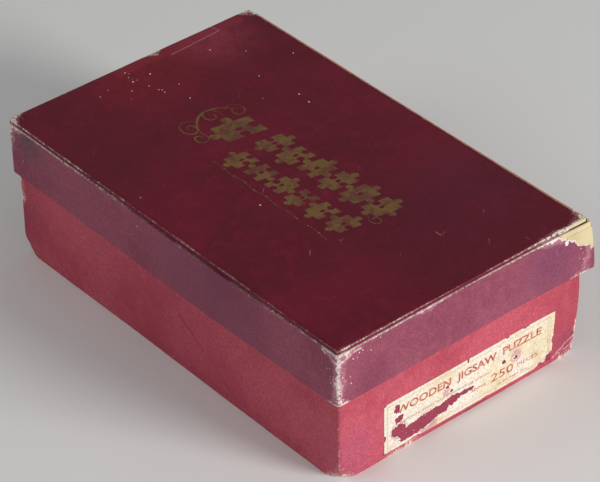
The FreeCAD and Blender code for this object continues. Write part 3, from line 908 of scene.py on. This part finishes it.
labelSheet = {"cell": 0.00045, "ragged": 0.9, "fringe": 0.0011, "lift": 0.00003, "ink": 0.00002}
labelTears = [
    # along the label and up it, then half width and half height, in millimetres
    (7.6, 21.6, 1.3, 2.2), (9.0, 15.2, 2.6, 1.8), (8.4, 9.0, 4.2, 3.0), (14.0, 5.2, 6.5, 3.6),
    (22.0, 6.2, 7.0, 3.6), (30.0, 7.8, 7.0, 2.8), (38.0, 9.2, 6.5, 2.0), (46.0, 9.6, 5.5, 1.1),
    (48.6, 26.9, 0.7, 2.0), (72.0, 27.0, 0.9, 1.2), (99.5, 0.0, 5.0, 4.2), (94.0, -0.6, 5.0, 2.2),
    (60.0, -0.6, 3.0, 1.1), (17.0, -0.8, 5.0, 1.6), (0.0, 26.8, 1.2, 1.0), (0.0, 8.0, 0.9, 1.6),
    (36.5, 17.8, 0.7, 0.6), (39.0, 14.6, 0.9, 0.7), (70.0, 14.0, 1.1, 0.8), (77.0, 13.2, 1.7, 1.1),
    (99.6, 12.0, 0.8, 2.4), (83.0, 27.2, 3.0, 0.9),
]


def tearValue(point):
    # above 0 where the label is gone
    along = (point.y - labelLow.y) * 1000
    up = (point.z - labelLow.z) * 1000
    rough = ragged(point, 0.0022, 4.0) * labelSheet["ragged"] + ragged(point, 0.006, 9.0) * 0.5
    rough += ragged(point, 0.0009, 6.0) * 0.7
    deepest = -9.0
    for middle, height, halfWide, halfHigh in labelTears:
        apart = math.hypot((along - middle) / halfWide, (up - height) / halfHigh)
        size = min(halfWide, halfHigh)
        deepest = max(deepest, (1 - apart) * size + rough * min(1.0, size * 0.6))
    return deepest


def addLabelSheet():
    clearSelection()
    length = labelHigh.y - labelLow.y
    height = labelHigh.z - labelLow.z
    centre = (labelLow + labelHigh) / 2
    bpy.ops.mesh.primitive_grid_add(x_subdivisions=round(height / labelSheet["cell"]),
                                    y_subdivisions=round(length / labelSheet["cell"]), size=1)
    piece = bpy.context.object
    piece.name = "endLabel"
    piece.scale = (height, length, 1)
    piece.rotation_euler = (0, math.radians(90), 0)
    piece.location = (labelHigh.x + labelSheet["lift"], centre.y, centre.z)
    bpy.ops.object.transform_apply(location=True, rotation=True, scale=True)
    startEdit(piece)
    bpy.ops.mesh.select_all(action="SELECT")
    bpy.ops.mesh.normals_make_consistent(inside=False)
    pickFaces(piece, lambda centre, normal: normal.x < 0)
    bpy.ops.mesh.flip_normals()
    pickFaces(piece, lambda centre, normal: tearValue(centre) > 0)
    bpy.ops.mesh.delete(type="FACE")
    bpy.ops.mesh.select_mode(type="EDGE")
    bpy.ops.mesh.select_non_manifold(extend=False, use_wire=False, use_boundary=True,
                                     use_multi_face=False, use_non_contiguous=False, use_verts=False)
    bpy.ops.mesh.vertices_smooth(factor=0.5, repeat=2)
    stopEdit()
    storeValue(piece, "torn", lambda point: max(0.0, min(1.0, 1 + tearValue(point) * 0.001
                                                         / labelSheet["fringe"])))
    return piece


printLines = [
    # words, letter height, start along and up in millimetres, length in millimetres, thickness
    ("WOODEN  JIGSAW  PUZZLE", 4.1, 7.5, 18.2, 85.0, 0.14),
    ("a picture sawn into interlocking pieces", 1.7, 9.0, 12.4, 52.0, 0.0),
    ("about", 2.2, 50.5, 7.0, 8.5, 0.02),
    ("250", 4.6, 62.0, 6.4, 13.5, 0.04),
    ("PIECES", 2.2, 78.0, 7.0, 12.5, 0.03),
    ("to be kept dry", 1.4, 66.0, 3.0, 18.0, 0.0),
]
printRules = [
    # thin lines: from, to, in millimetres along and up, and half the thickness
    (2.0, 24.8, 97.4, 24.8, 0.07), (2.0, 2.0, 97.4, 2.0, 0.07), (2.0, 2.0, 2.0, 24.8, 0.07),
    (97.4, 2.0, 97.4, 24.8, 0.07), (2.0, 3.0, 97.4, 3.0, 0.05), (96.4, 2.0, 96.4, 24.8, 0.05),
]


def toLabel(piece, along, up, scaleX=0.001, scaleY=0.001):
    # lays flat work, drawn in millimetres, on the end of the tray
    piece.scale = (scaleX, scaleY, 1)
    piece.rotation_euler = (math.radians(90), 0, math.radians(90))
    piece.location = (labelHigh.x + labelSheet["lift"] + labelSheet["ink"],
                      labelLow.y + along * 0.001, labelLow.z + up * 0.001)
    makeActive(piece)
    bpy.ops.object.transform_apply(location=True, rotation=True, scale=True)


def makeLabelPrint():
    made = []
    for words, height, along, up, length, weight in printLines:
        clearSelection()
        bpy.ops.object.text_add()
        text = bpy.context.object
        text.data.body = words
        text.data.size = height * 1.36
        text.data.offset = weight
        text.data.resolution_u = 3
        bpy.ops.object.convert(target="MESH")
        text = bpy.context.object
        toLabel(text, along, up, 0.001 * length / text.dimensions.x)
        made.append(text)
    for fromAlong, fromUp, toAlong, toUp, half in printRules:
        clearSelection()
        low = Vector((fromAlong - half, fromUp - half, 0))
        high = Vector((toAlong + half, toUp + half, 0))
        bpy.ops.mesh.primitive_plane_add(size=1, location=(low + high) / 2)
        rule = bpy.context.object
        rule.scale = (high.x - low.x, high.y - low.y, 1)
        bpy.ops.object.transform_apply(location=True, rotation=True, scale=True)
        toLabel(rule, 0, 0)
        made.append(rule)
    clearSelection()
    for piece in made:
        piece.select_set(True)
    bpy.context.view_layer.objects.active = made[0]
    bpy.ops.object.join()
    piece = bpy.context.object
    piece.name = "labelPrint"
    startEdit(piece)
    for axis in (1, 2):
        sliceAlong(axis, labelLow[axis], labelHigh[axis], 0.0007)
    margin = 0.0003
    pickFaces(piece, lambda centre, normal: tearValue(centre) * 0.001 > -margin)
    bpy.ops.mesh.delete(type="FACE")
    stopEdit()
    return piece


labelLook = {"paper": colour(234, 220, 184), "stainWearAndPaintedLight": colour(220, 202, 162), "white": colour(238, 232, 220),
             "pink": colour(196, 140, 150), "grime": colour(196, 174, 146), "ink": colour(176, 74, 62), "fadedInk": colour(206, 130, 104)}


def makeLabelPaper():
    material, tree, shader, place = startMaterial("agedLabelPaper")
    grain = useGroup(tree, paperGroup, place=place, net=0.0005)
    tone = blendColour(tree, ramp(tree, grain["blotch"], 0.35, 0.7), labelLook["paper"], labelLook["stainWearAndPaintedLight"])
    tone = blendColour(tree, ramp(tree, grain["cloud"], 0.4, 0.62, 0.0, 0.75), tone, labelLook["white"])
    scuffed = ramp(tree, noiseValue(tree, place, 0.0035, 5.0, 0.7), 0.56, 0.64)
    tone = blendColour(tree, calc(tree, "MULTIPLY", scuffed, 0.8), tone, labelLook["white"])
    for centre, radius in (((0.113, -0.034, 0.012), 0.022), ((0.113, 0.0, 0.011), 0.028),
                           ((0.113, 0.036, 0.008), 0.016)):
        spot = useGroup(tree, spotGroup, place=place, centre=centre, radius=radius)["mask"]
        patch = calc(tree, "MULTIPLY", spot, noiseValue(tree, place, 0.0022, 5.0, 0.75))
        tone = blendColour(tree, ramp(tree, patch, 0.22, 0.42, 0.0, 0.9), tone, labelLook["white"])
    for centre, radius in (((0.113, 0.033, 0.0165), 0.007), ((0.113, -0.008, 0.018), 0.005),
                           ((0.113, -0.036, 0.012), 0.010), ((0.113, -0.02, 0.007), 0.014)):
        spot = useGroup(tree, spotGroup, place=place, centre=centre, radius=radius)["mask"]
        patch = ramp(tree, calc(tree, "MULTIPLY", spot, noiseValue(tree, place, 0.0012, 4.0, 0.7)), 0.22, 0.32)
        tone = blendColour(tree, calc(tree, "MULTIPLY", patch, 0.75), tone, labelLook["pink"])
    worn = ramp(tree, noiseValue(tree, place, 0.0010, 5.0, 0.8), 0.47, 0.62, 0.0, 0.75)
    tone = blendColour(tree, worn, tone, labelLook["grime"])
    dots = useGroup(tree, speckGroup, place=place, spacing=0.0026, size=0.0002, share=0.22)["mask"]
    tone = blendColour(tree, calc(tree, "MULTIPLY", dots, 0.7), tone, colour(120, 84, 66))
    flakes = useGroup(tree, speckGroup, place=place, spacing=0.0014, size=0.0003, share=0.3)["mask"]
    tone = blendColour(tree, calc(tree, "MULTIPLY", flakes, 0.8), tone, labelLook["white"])
    torn = addNode(tree, "Attribute", attribute_name="torn").outputs["Fac"]
    fringe = ramp(tree, calc(tree, "MULTIPLY_ADD", noiseValue(tree, place, 0.0008, 3.0, 0.7), 0.6, torn),
                  0.75, 1.1)
    tone = blendColour(tree, fringe, tone, labelLook["white"])
    tree.links.new(tone, shader.inputs["Base Color"])
    shader.inputs["Roughness"].default_value = 0.75
    shader.inputs["Specular IOR Level"].default_value = 0.25
    bump = addNode(tree, "Bump", {"Height": calc(tree, "SUBTRACT", grain["height"], scuffed),
                                  "Strength": 0.4, "Distance": 0.00006})
    tree.links.new(bump.outputs[0], shader.inputs["Normal"])
    return material


def makePrintInk(name, full, faded, patch, rough):
    # printing or stamping worn thin in places
    material, tree, shader, place = startMaterial(name)
    thin = noiseValue(tree, place, patch, 4.0, 0.65)
    fine = noiseValue(tree, place, patch / 6, 3.0, 0.7)
    worn = calc(tree, "MULTIPLY_ADD", fine, 0.4, thin)
    tone = blendColour(tree, ramp(tree, worn, 0.6, 0.82), full, faded)
    tree.links.new(tone, shader.inputs["Base Color"])
    tree.links.new(ramp(tree, worn, 0.5, 0.9, rough, min(1.0, rough + 0.2)), shader.inputs["Roughness"])
    bump = addNode(tree, "Bump", {"Height": fine, "Strength": 0.3, "Distance": 0.00003})
    tree.links.new(bump.outputs[0], shader.inputs["Normal"])
    return material


endLabel = addLabelSheet()
labelPrint = makeLabelPrint()
warpTogether([endLabel, labelPrint], "tray")
thicken(endLabel, labelHigh.x - labelLow.x)
finishPiece(endLabel, "tray", ["end_label"], makeLabelPaper())
finishPiece(labelPrint, "tray", [],
            makePrintInk("redBrownPrint", labelLook["ink"], labelLook["fadedInk"], 0.004, 0.7))
print("label made")


# the gold stamping on the lid: a large and twelve small jigsaw pieces, with scrolls at the left

emblemRows = [
    # how many pieces, first centre, spacing, width, height in millimetres
    {"count": 1, "start": (-33.5, 1.0), "step": (0.0, 0.0), "wide": 14.0, "high": 20.0},
    {"count": 6, "start": (-14.0, 6.0), "step": (13.8, 0.64), "wide": 10.4, "high": 13.5},
    {"count": 6, "start": (-13.6, -13.8), "step": (13.4, 0.45), "wide": 9.8, "high": 11.5},
]
emblemPlace = {"x": -0.0047, "y": 0.0010, "slant": 0.18, "height": 0.00003, "thickness": 0.00002, "layer": 0.000004}
scrolls = [
    # centre, outer radius, inner radius, start angle, turns, widest
    ((-38.0, -2.0), 18.0, 15.0, 118, 0.45, 1.2), ((-46.0, 10.0), 6.5, 1.3, 230, -1.4, 0.8),
    ((-50.0, -2.0), 6.5, 1.3, 60, 1.4, 0.8), ((-48.0, -15.5), 7.5, 1.3, 110, 1.5, 0.8),
    ((-39.0, -17.0), 5.5, 1.2, 150, -1.4, 0.8), ((60.5, 1.0), 4.2, 1.0, 190, 1.3, 0.7),
]


def jigsawOutline(wide, high, sides, knob):
    # a piece's outline: a knob out (1), a hollow (-1) or a plain side (0), right, top, left, bottom
    corners = [(wide / 2, -high / 2), (wide / 2, high / 2), (-wide / 2, high / 2), (-wide / 2, -high / 2)]
    points = []
    for index, kind in enumerate(sides):
        start = Vector(corners[index])
        end = Vector(corners[(index + 1) % 4])
        along = (end - start).normalized()
        out = Vector((along.y, -along.x)) * kind
        middle = (start + end) / 2
        points.append(start)
        if not kind:
            continue
        centre = middle + out * knob * 0.95
        for step in range(13):
            angle = math.radians(-145 + 290 * step / 12)
            points.append(centre + along * math.sin(angle) * knob + out * math.cos(angle) * knob)
    return points


def scrollOutline(centre, outer, inner, start, turns, widest):
    # a ribbon that winds inwards, widest at its middle and narrowing to a thin end
    steps = 44
    left, right = [], []
    for step in range(steps + 1):
        share = step / steps
        angle = math.radians(start) + turns * 2 * math.pi * share
        radius = outer + (inner - outer) * share ** 0.8
        half = 0.12 + widest / 2 * math.sin(math.pi * min(1.0, share * 1.05)) ** 2
        way = Vector((math.cos(angle), math.sin(angle) * 0.8))
        left.append(Vector(centre) + way * (radius + half))
        right.append(Vector(centre) + way * (radius - half))
    return left + right[::-1]


def addOutlines(name, outlines):
    curve = bpy.data.curves.new(name, "CURVE")
    curve.dimensions = "2D"
    curve.fill_mode = "BOTH"
    for points in outlines:
        spline = curve.splines.new("POLY")
        spline.points.add(len(points) - 1)
        for point, place in zip(spline.points, points):
            point.co = (place[0], place[1], 0, 1)
        spline.use_cyclic_u = True
    drawn = bpy.data.objects.new(name, curve)
    bpy.context.scene.collection.objects.link(drawn)
    makeActive(drawn)
    bpy.ops.object.convert(target="MESH")
    return bpy.context.object


def emblemOutlines():
    outlines = []
    chance = random.Random(11)
    for row in emblemRows:
        knob = row["wide"] * 0.17
        facing = chance.choice((1, -1))
        for index in range(row["count"]):
            centre = Vector(row["start"]) + Vector(row["step"]) * index
            sides = [chance.choice((1, -1)) for side in range(3)]
            sides.insert(2, -facing)
            facing = sides[0]
            points = jigsawOutline(row["wide"], row["high"], sides, knob)
            outlines.append([centre + Vector((p.x + p.y * emblemPlace["slant"], p.y)) for p in points])
            heart = [centre + Vector((math.cos(a * math.pi / 6) * knob * 0.55,
                                      math.sin(a * math.pi / 6) * knob * 0.8)) for a in range(12)]
            outlines.append(heart)
    return outlines


def makeEmblem():
    parts = [addOutlines("emblemPieces", emblemOutlines())]
    for index, scroll in enumerate(scrolls):
        part = addOutlines(f"emblemScroll{index}", [scrollOutline(*scroll)])
        part.location.z = emblemPlace["layer"] * (index + 1)
        parts.append(part)
    beads = []
    for step in range(44):
        # a fine beaded line under the second row
        centre = Vector((-20.6 + step * 1.8, -24.0 + 0.5 * math.sin(step * 0.7)))
        half = 0.55 if step % 4 else 0.95
        beads.append([centre + Vector(corner) * half for corner in ((1, 0), (0, 0.7), (-1, 0), (0, -0.7))])
    parts.append(addOutlines("emblemBeads", beads))
    clearSelection()
    for part in parts:
        part.select_set(True)
    bpy.context.view_layer.objects.active = parts[0]
    bpy.ops.object.join()
    piece = bpy.context.object
    piece.name = "lidEmblem"
    piece.scale = (0.001, 0.001, 1)
    piece.location = (emblemPlace["x"], emblemPlace["y"], panelHigh.z + emblemPlace["height"])
    bpy.ops.object.transform_apply(location=True, rotation=True, scale=True)
    startEdit(piece)
    bpy.ops.mesh.select_all(action="SELECT")
    bpy.ops.mesh.remove_doubles(threshold=0.000005)
    bpy.ops.mesh.normals_make_consistent(inside=False)
    pickFaces(piece, lambda centre, normal: normal.z < 0)
    bpy.ops.mesh.flip_normals()
    stopEdit()
    thicken(piece, emblemPlace["thickness"])
    return piece


# crumbs of paper and lifted fibres on the lid

crumbPlaces = [
    # where, which way it faces, radius in metres
    ((-0.1011, 0.0, 0.074), "Z", 0.00045), ((-0.0934, -0.0067, 0.074), "Z", 0.00035),
    ((-0.0953, -0.0151, 0.074), "Z", 0.00035), ((-0.0867, -0.0042, 0.074), "Z", 0.0003),
    ((-0.0854, 0.0048, 0.074), "Z", 0.0003), ((-0.0986, 0.0339, 0.074), "Z", 0.00045),
    ((-0.0866, 0.0460, 0.074), "Z", 0.0003), ((-0.0704, 0.0614, 0.074), "Z", 0.0004),
    ((-0.0419, 0.0409, 0.074), "Z", 0.0004), ((-0.0729, 0.0013, 0.074), "Z", 0.0003),
    ((0.0138, -0.0287, 0.074), "Z", 0.0005), ((-0.1096, -0.0082, 0.074), "Z", 0.0004),
    ((0.1158, 0.0590, 0.0668), "X", 0.0016), ((0.1152, -0.0630, 0.0665), "X", 0.0004),
    ((0.1150, -0.0480, 0.0700), "X", 0.0003),
]
fibrePaths = [
    # bent threads at the worn corners
    [(0.1149, -0.0712, 0.0716), (0.1156, -0.0702, 0.0728), (0.1158, -0.0686, 0.0733), (0.1156, -0.0672, 0.0728)],
    [(0.1150, -0.0714, 0.0712), (0.1159, -0.0719, 0.0719), (0.1161, -0.0714, 0.0726)],
    [(0.1146, -0.0715, 0.0717), (0.1130, -0.0720, 0.0722), (0.1116, -0.0719, 0.0718)],
    [(-0.1148, -0.0713, 0.0715), (-0.1156, -0.0718, 0.0722), (-0.1150, -0.0719, 0.0730)],
    [(0.1156, 0.0660, 0.0690), (0.1163, 0.0652, 0.0700), (0.1164, 0.0640, 0.0698)],
]
scrapSize = {"thickness": 0.00012, "fibre": 0.00011}


def dropOn(pieces, place, direction):
    # the point of the outermost finished surface that faces a place
    start = Vector(place) - direction * 0.01
    found = [piece.ray_cast(start, direction) for piece in pieces]
    points = [point for hit, point, normal, face in found if hit]
    return min(points, key=lambda point: (point - start).length)


def addCrumb(place, facing, radius, chance):
    clearSelection()
    bpy.ops.mesh.primitive_circle_add(vertices=9, radius=radius, fill_type="NGON")
    crumb = bpy.context.object
    startEdit(crumb)
    mesh = bmesh.from_edit_mesh(crumb.data)
    for vertex in mesh.verts:
        vertex.co *= chance.uniform(0.6, 1.15)
    bmesh.update_edit_mesh(crumb.data)
    bpy.ops.mesh.select_all(action="SELECT")
    bpy.ops.mesh.extrude_region_move(TRANSFORM_OT_translate={"value": (0, 0, scrapSize["thickness"])})
    bpy.ops.transform.resize(value=(0.8, 0.8, 1), center_override=(0, 0, 0))
    bpy.ops.mesh.select_all(action="SELECT")
    bpy.ops.mesh.normals_make_consistent(inside=False)
    stopEdit()
    if facing == "X":
        crumb.rotation_euler = (0, math.radians(90), 0)
        crumb.location = dropOn((apronPaper, apronBoard), place, Vector((-1, 0, 0)))
    else:
        crumb.location = dropOn((panelSheet, panelBoard), place, Vector((0, 0, -1)))
    bpy.ops.object.transform_apply(location=True, rotation=True, scale=True)
    return crumb


def addFibre(path):
    curve = bpy.data.curves.new("fibre", "CURVE")
    curve.dimensions = "3D"
    curve.bevel_depth = scrapSize["fibre"]
    curve.bevel_resolution = 1
    curve.resolution_u = 6
    curve.use_fill_caps = True
    spline = curve.splines.new("NURBS")
    spline.points.add(len(path) - 1)
    for index, (point, place) in enumerate(zip(spline.points, path)):
        point.co = (*place, 1)
        point.radius = 1.6 - 1.2 * index / (len(path) - 1)
    spline.use_endpoint_u = True
    spline.order_u = 3
    thread = bpy.data.objects.new("fibre", curve)
    bpy.context.scene.collection.objects.link(thread)
    makeActive(thread)
    bpy.ops.object.convert(target="MESH")
    return bpy.context.object


def makeScraps():
    chance = random.Random(5)
    made = [addCrumb(*crumb, chance) for crumb in crumbPlaces]
    made += [addFibre(path) for path in fibrePaths]
    clearSelection()
    for part in made:
        part.select_set(True)
    bpy.context.view_layer.objects.active = made[0]
    bpy.ops.object.join()
    piece = bpy.context.object
    piece.name = "paperScraps"
    return piece


scraps = makeScraps()
finishPiece(scraps, "lid", [],
            makeBoardMaterial("tornFibres", colour(240, 230, 222), colour(226, 208, 204), 0.0006))
print("scraps made")


emblem = makeEmblem()
finishPiece(emblem, "lid", [],
            makePrintInk("fadedGoldStamping", colour(118, 88, 40), colour(102, 54, 38), 0.007, 0.5))
print("emblem made")


# the wooden pieces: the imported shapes, each with its own part of a painted landscape

puzzleLook = {"seed": 71, "pictureUp": 0.62, "bevel": 0.00018, "facet": 9, "wide": 0.36, "high": 0.28}


def makeWoodPieces(node):
    source = frame["nodes"][node]
    piece = bpy.data.objects.new("wood_" + node, source.data.copy())
    bpy.context.scene.collection.objects.link(piece)
    startEdit(piece, "VERT")
    bpy.ops.mesh.select_all(action="SELECT")
    bpy.ops.mesh.remove_doubles(threshold=0.000004)
    bpy.ops.mesh.dissolve_limited(angle_limit=math.radians(puzzleLook["facet"]))
    stopEdit()
    while piece.data.uv_layers:
        piece.data.uv_layers.remove(piece.data.uv_layers[0])
    markPieces(piece)
    addModifier(piece, "BEVEL", width=puzzleLook["bevel"], segments=1, limit_method="ANGLE",
                angle_limit=math.radians(50))
    smooth(piece, 40)
    return piece


def markPieces(piece):
    # stores, for each loose shape, its height through the plies and its part of the picture
    mesh = bmesh.new()
    mesh.from_mesh(piece.data)
    ply = mesh.verts.layers.float.new("plyHeight")
    tint = mesh.verts.layers.float.new("pieceTint")
    picture = mesh.loops.layers.uv.new("picture")
    waiting = set(mesh.faces)
    while waiting:
        island = [waiting.pop()]
        for face in island:
            for edge in face.edges:
                for other in edge.link_faces:
                    if other in waiting:
                        waiting.remove(other)
                        island.append(other)
        chance = random.Random(round(island[0].calc_center_median().length * 1e6) + puzzleLook["seed"])
        biggest = max(island, key=lambda face: face.calc_area())
        up = biggest.normal.copy()
        if up.z < 0:
            up.negate()
        if chance.random() > puzzleLook["pictureUp"]:
            up.negate()
        corners = {vertex for face in island for vertex in face.verts}
        heights = [vertex.co.dot(up) for vertex in corners]
        bottom, top = min(heights), max(heights)
        centre = sum((vertex.co for vertex in corners), Vector()) / len(corners)
        across = up.orthogonal().normalized()
        across.rotate(Matrix.Rotation(chance.uniform(0, math.tau), 3, up))
        onward = up.cross(across)
        corner = Vector((chance.uniform(0.01, puzzleLook["wide"]), chance.uniform(0.01, puzzleLook["high"])))
        shade = chance.random()
        for vertex in corners:
            vertex[ply] = (vertex.co.dot(up) - bottom) / (top - bottom)
            vertex[tint] = shade
        for face in island:
            for loop in face.loops:
                fromCentre = loop.vert.co - centre
                loop[picture].uv = corner + Vector((fromCentre.dot(across), fromCentre.dot(onward)))
    mesh.to_mesh(piece.data)
    mesh.free()


def makeWoodMaterial():
    material, tree, shader, place = startMaterial("paintedPlywood")
    where = addNode(tree, "UVMap", uv_map="picture").outputs[0]
    height = addNode(tree, "Attribute", attribute_name="plyHeight").outputs["Fac"]
    tint = addNode(tree, "Attribute", attribute_name="pieceTint").outputs["Fac"]
    across = addNode(tree, "SeparateXYZ", {"Vector": where}).outputs
    strokes = noiseValue(tree, where, 0.004, 4.0, 0.7)
    forms = noiseValue(tree, where, 0.028, 4.0, 0.6)
    far = calc(tree, "MULTIPLY_ADD", calc(tree, "SUBTRACT", forms, 0.5), 0.09, across["Y"])
    sky = blendColour(tree, ramp(tree, across["Y"], 0.16, 0.28), colour(226, 214, 188), colour(112, 156, 190))
    sky = blendColour(tree, ramp(tree, forms, 0.50, 0.62), sky, colour(240, 234, 218))
    hills = blendColour(tree, ramp(tree, far, 0.12, 0.17), colour(112, 136, 92), colour(110, 130, 150))
    field = blendColour(tree, ramp(tree, far, 0.06, 0.12), colour(150, 132, 66), colour(138, 154, 84))
    trees = blendColour(tree, ramp(tree, strokes, 0.4, 0.62), colour(46, 66, 38), colour(92, 110, 52))
    roofs = blendColour(tree, ramp(tree, strokes, 0.4, 0.6), colour(158, 74, 48), colour(214, 188, 150))
    tone = blendColour(tree, ramp(tree, far, 0.165, 0.170), hills, sky)
    tone = blendColour(tree, ramp(tree, far, 0.112, 0.116), field, tone)
    treeMask = ramp(tree, noiseValue(tree, where, 0.045, 3.0), 0.50, 0.53)
    below = ramp(tree, across["Y"], 0.17, 0.15)
    tone = blendColour(tree, calc(tree, "MULTIPLY", treeMask, below), tone, trees)
    block = addNode(tree, "TexVoronoi", {"Vector": where, "Scale": 38.0}, distance="CHEBYCHEV")
    chosen = addNode(tree, "SeparateColor", {"Color": block.outputs["Color"]}).outputs
    roofMask = calc(tree, "MULTIPLY", calc(tree, "LESS_THAN", chosen["Red"], 0.14),
                    calc(tree, "MULTIPLY", ramp(tree, block.outputs["Distance"], 0.36, 0.33), below))
    tone = blendColour(tree, roofMask, tone, roofs)
    tone = blendColour(tree, ramp(tree, strokes, 0.3, 0.75, 0.0, 0.35), tone, colour(58, 44, 40))
    # plain wood: sides in five plies, and the back
    grainPlace = addNode(tree, "VectorMath", {1: (1.0, 9.0, 1.0)}, operation="MULTIPLY")
    tree.links.new(where, grainPlace.inputs[0])
    grain = noiseValue(tree, grainPlace.outputs[0], 0.016, 5.0, 0.65)
    back = blendColour(tree, ramp(tree, grain, 0.3, 0.7), colour(206, 170, 120), colour(176, 134, 86))
    back = blendColour(tree, calc(tree, "MULTIPLY", tint, 0.35), back, colour(146, 104, 66))
    layer = calc(tree, "SINE", calc(tree, "MULTIPLY", height, 15.7))
    sides = blendColour(tree, ramp(tree, layer, -0.2, 0.2), colour(150, 108, 66), colour(204, 168, 116))
    sides = blendColour(tree, ramp(tree, noiseValue(tree, place, 0.0012, 3.0), 0.5, 0.8, 0.0, 0.5), sides,
                        colour(96, 66, 40))
    wood = blendColour(tree, calc(tree, "LESS_THAN", height, 0.01), sides, back)
    onTop = calc(tree, "GREATER_THAN", height, 0.985)
    tree.links.new(blendColour(tree, onTop, wood, tone), shader.inputs["Base Color"])
    tree.links.new(calc(tree, "MULTIPLY_ADD", onTop, -0.35, 0.75), shader.inputs["Roughness"])
    bump = addNode(tree, "Bump", {"Height": calc(tree, "ADD", grain, strokes), "Strength": 0.35,
                                  "Distance": 0.0001})
    tree.links.new(bump.outputs[0], shader.inputs["Normal"])
    return material


woodMaterial = makeWoodMaterial()
for body, members in frame["record"]["behaviour"]["bodies"].items():
    for node in members:
        if node.startswith("puzzle_row") or node.startswith("loose_piece"):
            finishPiece(makeWoodPieces(node), body, [node], woodMaterial)
print("wooden pieces made")

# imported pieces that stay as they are, with a better finish
bottomPaper = frame["nodes"]["tray_bottom_paper"]
for slot in bottomPaper.material_slots:
    slot.material = undersideMaterial


# camera, floor and lights

view = {"azimuth": 50.4, "elevation": 36.3, "roll": -1.19, "distance": 1.354, "lens": 180,
        "aim": (0.0069, -0.0007, 0.037)}
lights = {
    # name: place, size, power
    "keyLight": ((1.6, 0.50, 0.62), 0.7, 25),
    "fillLight": ((-0.5, -1.5, 1.2), 1.2, 6.8),
}


def placeCamera():
    azimuth = math.radians(view["azimuth"])
    elevation = math.radians(view["elevation"])
    back = Vector((math.sin(azimuth) * math.cos(elevation),
                   -math.cos(azimuth) * math.cos(elevation), math.sin(elevation)))
    bpy.ops.object.camera_add(location=Vector(view["aim"]) + back * view["distance"])
    camera = bpy.context.object
    turn = (-back).to_track_quat("-Z", "Y").to_matrix()
    camera.rotation_euler = (turn @ Matrix.Rotation(math.radians(view["roll"]), 3, "Z")).to_euler()
    camera.data.lens = view["lens"]
    camera.data.sensor_width = 36
    bpy.context.scene.camera = camera


def placeFloor():
    clearSelection()
    bpy.ops.mesh.primitive_plane_add(size=8, location=(0, 0, 0))
    floor = bpy.context.object
    floor.name = "floor"
    material, tree, shader, place = startMaterial("paleFloor")
    tone = blendColour(tree, noiseValue(tree, place, 0.5), colour(234, 233, 230), colour(240, 239, 236))
    tree.links.new(tone, shader.inputs["Base Color"])
    shader.inputs["Roughness"].default_value = 0.8
    floor.data.materials.append(material)


def placeLight(name, place, size, power):
    bpy.ops.object.light_add(type="AREA", location=place)
    light = bpy.context.object
    light.name = name
    light.data.shape = "DISK"
    light.data.size = size
    light.data.energy = power
    light.rotation_euler = (Vector((0, 0, 0.04)) - Vector(place)).to_track_quat("-Z", "Y").to_euler()


placeCamera()
placeFloor()
for name, (place, size, power) in lights.items():
    placeLight(name, place, size, power)
world = bpy.data.worlds.new("studio")
bpy.context.scene.world = world
world.use_nodes = True
world.node_tree.nodes["Background"].inputs["Color"].default_value = (0.9, 0.92, 0.95, 1)
world.node_tree.nodes["Background"].inputs["Strength"].default_value = 0.3
print("stage set")
